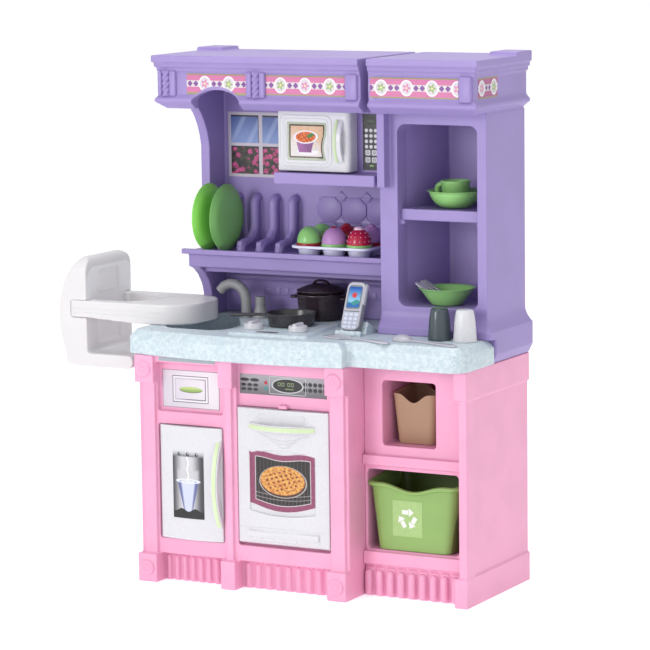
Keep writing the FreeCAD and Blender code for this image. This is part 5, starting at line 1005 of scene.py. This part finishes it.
def friezeArt(name, width, shift, ground=frieze["ground"]):
    # flower medallions between pairs of small lozenges on a banded ground
    art = Finish(name)
    x, y = art.print(width, frieze["high"] - frieze["low"])
    pitch = frieze["pitch"]
    moved = x + shift + pitch / 2
    near = moved % pitch - pitch / 2
    index = art.math("FLOOR", moved / pitch) % 2
    between = abs((x + shift) % pitch - pitch / 2)
    colour = art.paint(ground, abs(y) - 6.2, tone(222, 224, 218))
    lace = art.math("SINE", x * 1.1) * 0.7 + abs(y)
    colour = art.paint(colour, abs(lace - 4.2) - 0.5, tone(196, 160, 190))
    colour = art.paint(colour, 17.2 - abs(y), tone(152, 150, 96))
    colour = art.paint(colour, abs(between - 6.6) + abs(y) - 6.2, tone(128, 70, 150))
    colour = art.paint(colour, art.oval(near, y, 0, 0, 13.6, 15.4), tone(240, 238, 240))
    colour = art.paint(colour, art.oval(near, y, 0, 0, 11, 12.8), tone(214, 206, 214))
    angle = art.math("ARCTAN2", y, near)
    reach = (near * near + y * y) ** 0.5
    petals = reach - (6.6 + art.math("COSINE", angle * 5) * 2.4)
    colour = art.mix(art.span(petals, -0.3, 0.3, 1, 0), colour,
                     art.mix(index, tone(214, 132, 178), tone(150, 178, 110)))
    return art.printed(art.paint(colour, reach - 2.2, tone(238, 226, 170)))


def archBend(s, t):
    # the sheet's low edge follows the arch that is cut up into the canopy
    left, right = frieze["arch"]
    a = left + (right - left) * s
    archLeft, archRight = frieze["archEnds"]
    share = (a - (archLeft + archRight) / 2) / ((archRight - archLeft) / 2)
    low = frieze["low"] - 2
    if abs(share) < 1:
        rise = (frieze["archCrown"] - frieze["archFoot"]) * (1 - share * share)
        low = max(low, frieze["archFoot"] + rise + 5)
    return a, low + (frieze["high"] - low) * t


def friezeSticker(name, node, facing, start, place, shift, ground, columns, bend=None):
    left, right = frieze[place]
    art = friezeArt("frieze" + place.capitalize(), right - left, shift, ground)
    sticker(name, node, facing, start, (left, right, frieze["low"], frieze["high"]), art, columns, 8, bend)


for place, node, facing, start, shift, ground, columns, bend in (
        ("mid", "upper_hutch", "front", frieze["start"], 0, frieze["ground"], 30, None),
        ("arch", "upper_hutch", "front", frieze["start"], 27, frieze["ground"], 30, archBend),
        ("right", "upper_tower", "front", frieze["start"], 14, frieze["ground"], 30, None),
        # the side frieze takes the ground with painted shade
        ("side", "upper_tower", "right", 500, 27, frieze["sideShadedGround"], 16, None)):
    friezeSticker("frieze_sticker_" + place, node, facing, start, place, shift, ground, columns, bend)

drawer = {"area": (-304, -175, 352, 427), "frame": (-1, 0, 40, 26), "inner": (-1, 0, 34, 20.5)}


def drawerArt():
    # a framed panel with an oval handle
    art = Finish("drawerPrint")
    x, y = art.print(*sizeOf(drawer["area"]))
    frameLine, innerLine = art.block(x, y, *drawer["frame"]), art.block(x, y, *drawer["inner"])
    colour = art.mix(art.span(x + y * 0.6, -60, 60), tone(216, 210, 222), tone(232, 226, 234))
    colour = art.paint(colour, abs(frameLine) - 0.8, tone(112, 110, 118))
    colour = art.paint(colour, abs(frameLine + 2.4) - 0.7, tone(244, 242, 246))
    bevel = art.mix(art.span(y - x, -30, 30), tone(120, 116, 126), tone(196, 190, 202))
    colour = art.paint(colour, abs(innerLine) - 1, bevel)
    colour = art.paint(colour, art.oval(x, y, 0, -1.4, 26, 5.6), tone(110, 118, 84))
    colour = art.paint(colour, art.oval(x, y, 0, 0, 26, 5.4), art.mix(
        art.span(y, -4, 4), tone(142, 172, 90), tone(196, 214, 140)))
    return art.printed(art.paint(colour, (36.4 - abs(y)) & (63.4 - abs(x)), tone(150, 146, 152)))


sticker("drawer_sticker", "lower_left_cabinet", "front", -300, drawer["area"], drawerArt(), 24, 10)

strip = {"area": (-300, -172, 443, 454), "print": (127, 10)}


def stripArt():
    # a dotted grey band
    art = Finish("stripPrint")
    x, y = art.print(*strip["print"])
    spot = art.cells(0.9, art.flat(x, y))
    return art.printed(art.mix(art.span(spot, 0.15, 0.3, 0.7, 0), tone(166, 176, 184), tone(104, 116, 128)))


sticker("strip_sticker", "lower_left_cabinet", "front", -300, strip["area"], stripArt(), 24, 3)

ovenPanel = {
    "area": (-128, 64, 390, 429), "signs": -38, "digits": (-8, 0, 13, 21),
    "keys": (  # left, bottom, pitch across and up, columns, rows, radius across and up
        (-85, 8.6, 22, 1, 2, 1, 8.4, 2.8), (-87.5, -10, 13.4, 8.6, 3, 2, 4.8, 2.6),
        (49, -4.6, 11, 11, 5, 2, 4, 3.6)),
}


def ovenPanelArt():
    # rows of keys on both sides of an oval clock
    art = Finish("ovenPanelPrint")
    x, y = art.print(*sizeOf(ovenPanel["area"]))
    colour = art.mix(art.span(y, -18, 18), tone(108, 106, 112), tone(164, 162, 168))
    dark, pale = tone(30, 28, 34), tone(206, 206, 210)
    for left, bottom, pitchX, pitchY, columns, rows, radiusX, radiusY in ovenPanel["keys"]:
        for column in range(columns):
            for row in range(rows):
                key = art.oval(x, y, left + pitchX * column, bottom + pitchY * row, radiusX, radiusY)
                colour = art.paint(art.paint(colour, key - 0.7, tone(84, 82, 88)), key, dark)
    colour = art.paint(colour, abs(art.block(x, y, 10, 1, 40, 17, 2)) - 0.6, tone(196, 196, 200))
    colour = art.paint(colour, art.oval(x, y, 10, 1, 35, 14.6), pale)
    colour = art.paint(colour, art.oval(x, y, 10, 1, 32.6, 12.8), dark)
    for left in ovenPanel["digits"]:
        colour = art.paint(colour, abs(art.block(x, y, left, 3.4, 2.4, 3)) - 0.5, tone(150, 168, 120))
    colour = art.paint(colour, abs(art.block(x, y, 14, -5.4, 9, 0.6)) - 0.6, tone(120, 140, 90))
    beside = abs(x - ovenPanel["signs"]) * 1.2 - 5.2
    colour = art.paint(colour, beside + abs(y - 4.4) + (y < 1.4) * 9, tone(176, 30, 50))
    return art.printed(art.paint(colour, beside + abs(y + 6.6) + (y > -3.6) * 9, tone(40, 140, 140)))


sticker("oven_panel_sticker", "lower_left_cabinet", "front", -300, ovenPanel["area"], ovenPanelArt(), 24, 6)

dispenser = {"area": (-274, -203, 134, 268), "bubbles": ((-10, 3), (0, 4), (8, 3.4), (14, 2.4)),
             "buttons": (-20, 0, 20), "glassFoot": -54, "glassTop": 8}


def dispenserArt():
    # a tumbler of water under a spout, between dark sides
    art = Finish("dispenserPrint")
    x, y = art.print(*sizeOf(dispenser["area"]))
    colour = art.mix(art.span(abs(x + 2), 8, 34), tone(206, 206, 212), tone(58, 58, 64))
    colour = art.paint(colour, art.block(x, y, 0, 18, 24, 12), tone(200, 200, 206), 4, 0.8)
    stream = abs(x + art.math("SINE", y * 0.25) * 1.6) - 1.3
    colour = art.paint(colour, stream + (y < dispenser["glassTop"]) * 9, tone(244, 244, 248))
    side = 9 + (y - dispenser["glassFoot"]) * 0.25
    glass = (abs(x) - side) | (y - dispenser["glassTop"]) | (dispenser["glassFoot"] - y)
    water = art.mix(art.span(abs(x) - side * 0.55, 0, 5), tone(206, 212, 236), tone(96, 102, 158))
    colour = art.paint(colour, glass, water)
    colour = art.paint(colour, abs(art.oval(x, y, 0, 8, 24, 4)) - 0.7, tone(226, 230, 244))
    for middle, radius in dispenser["bubbles"]:
        colour = art.paint(colour, abs(art.oval(x, y, middle, 9, radius, radius)) - 0.6, tone(238, 240, 246))
    colour = art.paint(colour, y + 50 + art.math("SINE", x * 0.2 + 1.5) * 3, tone(16, 14, 18))
    colour = art.paint(colour, 57 - y, art.mix(art.span(y, 57, 67), tone(120, 122, 128), tone(206, 208, 212)))
    for middle in dispenser["buttons"]:
        colour = art.paint(colour, art.oval(x, y, middle, 62, 3.6, 3.6), tone(48, 48, 54))
        colour = art.paint(colour, art.oval(x, y, middle + 1, 63, 1.3, 1.3), tone(220, 220, 224))
    return art.printed(colour)


sticker("dispenser_sticker", "fridge_door", "front", -300, dispenser["area"], dispenserArt(), 12, 20)

ovenWindow = {"left": -104, "right": 43, "low": 176, "high": 277, "belly": 15, "waves": (6, 4),
              "print": (147, 112), "middle": 225, "rails": (-32, -40)}


def ovenEdges(s, sine):
    # the bellied low edge and the wavy high edge, for a number or for a shader's wire
    leftWave, rightWave = ovenWindow["waves"]
    low = ovenWindow["low"] - ovenWindow["belly"] * sine(s * math.pi)
    high = ovenWindow["high"] + sine((s * 1.15 + 0.06) * math.tau) * (1 - s) * leftWave
    return low, high + sine((s - 0.45) * math.tau) * s * rightWave


def windowBend(s, t):
    low, high = ovenEdges(s, math.sin)
    return ovenWindow["left"] + (ovenWindow["right"] - ovenWindow["left"]) * s, low + (high - low) * t


def ovenWindowArt():
    # a lattice tart on a rack behind glass
    art = Finish("ovenWindowPrint")
    width, height = ovenWindow["print"]
    x, y = art.print(width, height)
    edge = art.block(x, y, 0, 0, width / 2, height / 2)
    # the frame follows the sheet's wavy edges, and the tart and its rack are drawn where they really lie
    low, high = ovenEdges(x / width + 0.5, lambda wire: art.math("SINE", wire))
    y = low + (high - low) * (y / height + 0.5) - ovenWindow["middle"]
    grain = art.noise(0.16, 3, art.flat(x, y))
    inner = art.mix(art.span(art.math("SINE", x * 0.75 + art.math("SINE", y * 0.05) * 2), 0.55, 0.95),
                    tone(22, 14, 16), tone(86, 76, 76))
    inner = art.mix(art.span(y, -40, 40, 0.1, 0.45), inner, tone(30, 22, 22))
    for rail in ovenWindow["rails"]:
        inner = art.paint(inner, abs(y - rail - x * x * 0.0016) - 0.8, tone(136, 128, 130))
    dish = art.oval(x, y, 0, -3.5, 53, 32)
    crust = art.oval(x, y, -1, -1, 49, 28.5)
    inner = art.paint(art.paint(inner, dish, tone(178, 170, 166)), dish + 1.6, tone(74, 40, 30))
    golden = art.mix(art.span(grain, 0.35, 0.65), tone(196, 116, 44), tone(232, 178, 92))
    filling = art.mix(art.span(grain, 0.4, 0.6), tone(96, 30, 16), tone(150, 62, 24))
    strips = (abs((x + y * 0.5) % 12 - 6) - 3.4) & (abs((y * 1.4 - x * 0.4) % 12 - 6) - 3.4)
    inner = art.paint(inner, crust, filling)
    inner = art.mix(art.span(strips, -0.5, 0.5, 1, 0) * art.span(crust, -0.5, 0.5, 1, 0), inner, golden)
    crimp = art.math("SINE", art.math("ARCTAN2", y - 1, x) * 34) * 0.6
    inner = art.mix(art.span(abs(crust + 3) - 2.6 + crimp, -0.5, 0.5, 1, 0), inner, golden)
    colour = art.mix(art.span(edge, -13.4, -12.8), inner, tone(214, 206, 210))
    colour = art.mix(art.span(edge, -12, -11.4), colour, tone(142, 66, 102))
    return art.printed(art.mix(art.span(edge, -1.4, -0.8), colour, tone(228, 216, 222)), 0.22)


sticker("oven_window_sticker", "oven_door", "front", -300, (
    ovenWindow["left"], ovenWindow["right"], ovenWindow["low"] - ovenWindow["belly"],
    ovenWindow["high"] + ovenWindow["waves"][0]), ovenWindowArt(), 32, 14, windowBend, True)

garden = {"area": (-311, -160, 784, 916)}


def gardenArt():
    # four panes: sky above, flowers below
    art = Finish("gardenPrint")
    x, y = art.print(*sizeOf(garden["area"]))
    flat = art.flat(x, y)
    sky = art.mix(art.span(y, 0, 64), tone(132, 156, 208), tone(82, 104, 168))
    ray = art.span(art.math("SINE", (x - y * 0.55) * 0.16), 0.3, 1, 0, 0.35)
    sky = art.mix(ray, sky, tone(186, 202, 232))
    leaf = art.mix(art.span(art.noise(0.09, 4, flat), 0.45, 0.62), tone(30, 22, 26), tone(58, 62, 44))
    bloom = art.cells(0.085, flat)
    ruffle = art.noise(0.3, 2, flat) * 0.5
    flowers = art.mix(art.span(bloom + ruffle, 0.66, 0.78, 1, 0), leaf, art.mix(
        art.span(ruffle, 0.2, 0.3), tone(158, 26, 92), tone(226, 92, 158)))
    view = art.mix(y > 0, flowers, sky)
    inX, inY = abs(abs(x) - 36.5) - 32.4, abs(abs(y) - 31.6) - 28.4
    shade = art.block(x % 73, y % 63, 34, 29, 37, 31)
    view = art.mix(art.span(shade, -4, -3), view, tone(40, 26, 34))
    return art.printed(art.mix(art.span(inX | inY, -0.4, 0.4), view, tone(206, 198, 210)))


sticker("garden_sticker", "upper_hutch", "front", 60, garden["area"], gardenArt(), 20, 16)

stew = {"area": (-82, 2, 839, 913), "print": (88, 74), "wave": 3.4}


def stewBend(s, t):
    # the right edge is wavy
    left, right, low, high = stew["area"]
    wave = stew["wave"] * math.sin(math.tau * (t + 0.42))
    return left + (right - left + wave) * s, low + (high - low) * t


def stewArt():
    # a mug of stew with a green leaf
    art = Finish("stewPrint")
    width, height = stew["print"]
    x, y = art.print(width, height)
    edge = art.block(x, y, 0, 0, width / 2, height / 2)
    colour = art.mix(art.span(y + x * 0.3, -24, 20), tone(226, 222, 220), tone(214, 176, 144))
    grain = art.noise(0.22, 3, art.flat(x, y))
    saucer = art.oval(x, y, 4, -20, 26, 7)
    colour = art.paint(colour, saucer, tone(238, 234, 238))
    colour = art.paint(colour, abs(art.oval(x, y, 21, -10, 8, 7)) - 1.6, tone(212, 206, 214))
    mug = (abs(x + 2) - (22 + (y - 4) * 0.28)) | (y - 4) | (-22 - y)
    colour = art.paint(colour, mug, art.mix(art.span(x, -22, 20), tone(158, 96, 158), tone(122, 66, 126)))
    bowl = art.oval(x, y, -2, 8, 28, 13)
    colour = art.paint(art.paint(colour, bowl, tone(236, 228, 236)), bowl + 2.4, art.mix(
        art.span(grain, 0.38, 0.6), tone(160, 34, 12), tone(232, 120, 36)))
    leaf = art.oval(x + y * 0.5, y - x * 0.4, 14, 8, 9, 4)
    colour = art.paint(colour, leaf, tone(44, 120, 48))
    colour = art.mix(art.span(edge, -7.6, -7), colour, tone(78, 54, 56))
    return art.printed(art.mix(art.span(edge, -4.4, -3.8), colour, tone(172, 182, 158)), 0.24)


sticker("stew_sticker", "microwave_door", "front", -200, stew["area"], stewArt(), 20, 16, stewBend, True)

keypad = {"area": (66, 102, 820, 929), "columns": (-10, 0, 10), "rows": 4, "top": 23, "pitch": 10.6,
          "large": ((-7, -20.5), (-7, -34.5), (7, -20.5), (7, -34.5))}


def keypadArt():
    # a display, four rows of round keys and four large keys
    art = Finish("keypadPrint")
    x, y = art.print(*sizeOf(keypad["area"]))
    dark, pale = tone(46, 48, 56), tone(218, 218, 224)
    colour = art.mix(art.span(y, -50, 50), dark, tone(34, 36, 42))
    colour = art.paint(colour, art.block(x, y, 0, 41, 13.5, 8, 1.5), tone(18, 22, 20))
    for left in (-6, -1, 5):
        colour = art.paint(colour, art.block(x, y, left, 41, 1.6, 0.5), tone(92, 150, 92))
    for column in keypad["columns"]:
        for row in range(keypad["rows"]):
            height = keypad["top"] - row * keypad["pitch"]
            colour = art.paint(colour, art.oval(x, y, column, height, 3.5, 3.5), pale)
    for column, row in keypad["large"]:
        colour = art.paint(colour, art.block(x, y, column, row, 5.4, 5.2, 2), pale)
        colour = art.paint(colour, abs(art.oval(x, y, column, row, 2.4, 2.4)) - 0.5, dark)
    return art.printed(art.paint(colour, art.oval(x, y, 1, -46, 4.6, 1.6), tone(150, 208, 110)), 0.25)


sticker("keypad_sticker", "upper_hutch", "front", 0, keypad["area"], keypadArt(), 8, 12)

hob = {"area": (-100, -54, -126, -114), "marks": (-15, 15)}


def hobArt():
    # a small dark plate with an oval and two marks
    art = Finish("hobPrint")
    x, y = art.print(*sizeOf(hob["area"]))
    colour = art.mix(0.5, tone(70, 60, 66), tone(80, 66, 72))
    colour = art.paint(colour, art.oval(x, y, 0, 0, 6, 3.4), tone(196, 190, 194))
    colour = art.paint(colour, art.oval(x, y, 0, 0, 4.6, 2.4), tone(40, 34, 40))
    for middle in hob["marks"]:
        colour = art.paint(colour, art.oval(x, y, middle, 0, 4.6, 2.6), tone(150, 144, 150))
    return art.printed(colour)


sticker("hob_sticker", "countertop", "top", 560, hob["area"], hobArt(), 8, 4)

binLabel = {"area": (176, 240, 122, 192), "reach": 13, "shaft": (-5, 7, 4.4), "head": (3, 8.6, 0.8)}


def labelArt():
    # three arrows that chase one another on a green square
    art = Finish("labelPrint")
    x, y = art.print(*sizeOf(binLabel["area"]))
    middle, halfLength, halfWidth = binLabel["shaft"]
    neck, spread, taper = binLabel["head"]
    reach = binLabel["reach"]
    arrows = 99  # further than any arrow
    for third in range(3):
        lean = math.tau * third / 3
        along, out = x * math.cos(lean) + y * math.sin(lean), y * math.cos(lean) - x * math.sin(lean)
        shaft = art.block(along, out, middle, reach, halfLength, halfWidth, 1)
        head = (abs(out - reach) + (along - neck) * taper - spread) | (neck - along)
        arrows = shaft & head & arrows
    cloud = art.span(art.noise(0.1, 2, art.flat(x, y)), 0.3, 0.7)
    ground = art.mix(cloud, tone(164, 200, 124), tone(172, 206, 130))
    return art.printed(art.paint(ground, arrows, tone(238, 242, 238)))


shells["recycling_bin"] = bpy.data.objects["recycling_bin_shell"]
sticker("bin_label", "recycling_bin", "front", -200, binLabel["area"], labelArt(), 8, 8)

screen = {"area": (9, 35, 47.5, 89.5), "front": -0.5, "back": 0.3}


def screenArt():
    # blue sky over green hills, with a small red sun
    art = Finish("screenPrint")
    x, y = art.print(*sizeOf(screen["area"]))
    colour = art.mix(art.span(y, -12, 20), tone(150, 206, 236), tone(40, 104, 190))
    colour = art.paint(colour, y + 8 - art.math("SINE", x * 0.25) * 3, tone(64, 152, 150))
    colour = art.paint(colour, y + 14 + art.math("SINE", x * 0.3 + 1) * 2, tone(48, 110, 180))
    colour = art.paint(colour, art.block(x, y, 0, 18.6, 11, 0.8), tone(20, 60, 140))
    colour = art.paint(colour, art.oval(x, y, 0, 4, 5.4, 5.4), tone(214, 70, 74))
    return art.printed(colour, 0.15)


def phoneScreen():
    # a thin leaning sheet on the handset
    left, right, low, high = screen["area"]
    corners = {(0, 0): (left, low), (1, 0): (right, low), (1, 1): (right, high), (0, 1): (left, high)}
    work = bmesh.new()
    layer = work.loops.layers.uv.new("print")
    where = {}
    shown, sunk = [], []
    for share, (a, b) in corners.items():
        for pile, depth in ((shown, screen["front"]), (sunk, screen["back"])):
            vertex = work.verts.new(Vector(onPhone(a, b, depth)) * mm)
            where[vertex] = share
            pile.append(vertex)
    work.faces.new(shown)
    work.faces.new(sunk[::-1])
    for corner in range(4):
        after = (corner + 1) % 4
        work.faces.new((shown[corner], sunk[corner], sunk[after], shown[after]))
    bmesh.ops.recalc_face_normals(work, faces=work.faces)
    for face in work.faces:
        for loop in face.loops:
            loop[layer].uv = where[loop.vert]
    mesh = bpy.data.meshes.new("screen")
    work.to_mesh(mesh)
    work.free()
    return mesh


addPiece("phone_screen", phoneScreen(), "phone", screenArt())
print("stickers are on")


cameraFacts = {
    "azimuth": 28.1218, "elevation": 8.1065, "roll": -0.7365, "distance": 6.1597,
    "target": (-0.0137, 0.0016, 0.5120), "focal": 3121.9164, "imageSide": 650, "sensor": 36,
}


def placeCamera():
    facts = cameraFacts
    turn, lift, roll = (math.radians(facts[name]) for name in ("azimuth", "elevation", "roll"))
    back = Vector((math.sin(turn) * math.cos(lift), -math.cos(turn) * math.cos(lift), math.sin(lift)))
    right = Vector((math.cos(turn), math.sin(turn), 0))
    up = back.cross(right)
    rolledRight = right * math.cos(roll) + up * math.sin(roll)
    rolledUp = up * math.cos(roll) - right * math.sin(roll)
    lens = bpy.data.cameras.new("photoCamera")
    lens.sensor_width = facts["sensor"]
    lens.lens = facts["focal"] / facts["imageSide"] * facts["sensor"]
    lens.clip_end = 50
    camera = bpy.data.objects.new("photoCamera", lens)
    scene.collection.objects.link(camera)
    camera.matrix_world = Matrix.Translation(Vector(facts["target"]) + back * facts["distance"]) @ (
        Matrix((rolledRight, rolledUp, back)).transposed().to_4x4())
    scene.camera = camera


studio = {
    "floorSide": 40, "world": (1.0, 0.45), "glow": 0.42,
    "key": {"place": (-1.6, -4.6, 1.7), "side": 1.6, "power": 76},
    "fill": {"place": (3.2, -2.6, 1.8), "side": 2.4, "power": 4},
    "top": {"place": (0.2, -0.3, 3.4), "side": 2.0, "power": 58},
}


def lightStudio():
    half = studio["floorSide"] / 2
    floorMesh = bpy.data.meshes.new("floor")
    floorMesh.from_pydata([(-half, -half, 0), (half, -half, 0), (half, half, 0), (-half, half, 0)],
                          [], [(0, 1, 2, 3)])
    floor = bpy.data.objects.new("floor", floorMesh)
    scene.collection.objects.link(floor)
    pale = Finish("paleFloor")
    floorMesh.materials.append(pale.wear(
        Base_Color=pale.mix(pale.noise(3, 2), (0.9, 0.9, 0.91), (0.94, 0.94, 0.94)), Roughness=0.7,
        Emission_Color=(1, 1, 1), Emission_Strength=studio["glow"]))
    for name in ("key", "fill", "top"):
        facts = studio[name]
        lamp = bpy.data.lights.new(name, "AREA")
        lamp.size = facts["side"]
        lamp.energy = facts["power"]
        light = bpy.data.objects.new(name, lamp)
        light.location = facts["place"]
        aim = Vector((0, 0, 0.5)) - light.location
        light.rotation_euler = aim.to_track_quat("-Z", "Y").to_euler()
        scene.collection.objects.link(light)
    world = bpy.data.worlds.new("studio")
    world.use_nodes = True
    nodes, links = world.node_tree.nodes, world.node_tree.links
    nodes["Background"].inputs["Color"].default_value = (1, 1, 1, 1)
    height, rise = nodes.new("ShaderNodeSeparateXYZ"), nodes.new("ShaderNodeMapRange")
    links.new(nodes.new("ShaderNodeTexCoord").outputs["Generated"], height.inputs[0])
    links.new(height.outputs["Z"], rise.inputs["Value"])
    rise.inputs["To Min"].default_value, rise.inputs["To Max"].default_value = studio["world"]
    links.new(rise.outputs[0], nodes["Background"].inputs["Strength"])
    scene.world = world
    scene.view_settings.view_transform = "Standard"


placeCamera()
lightStudio()
print("camera and lights stand")
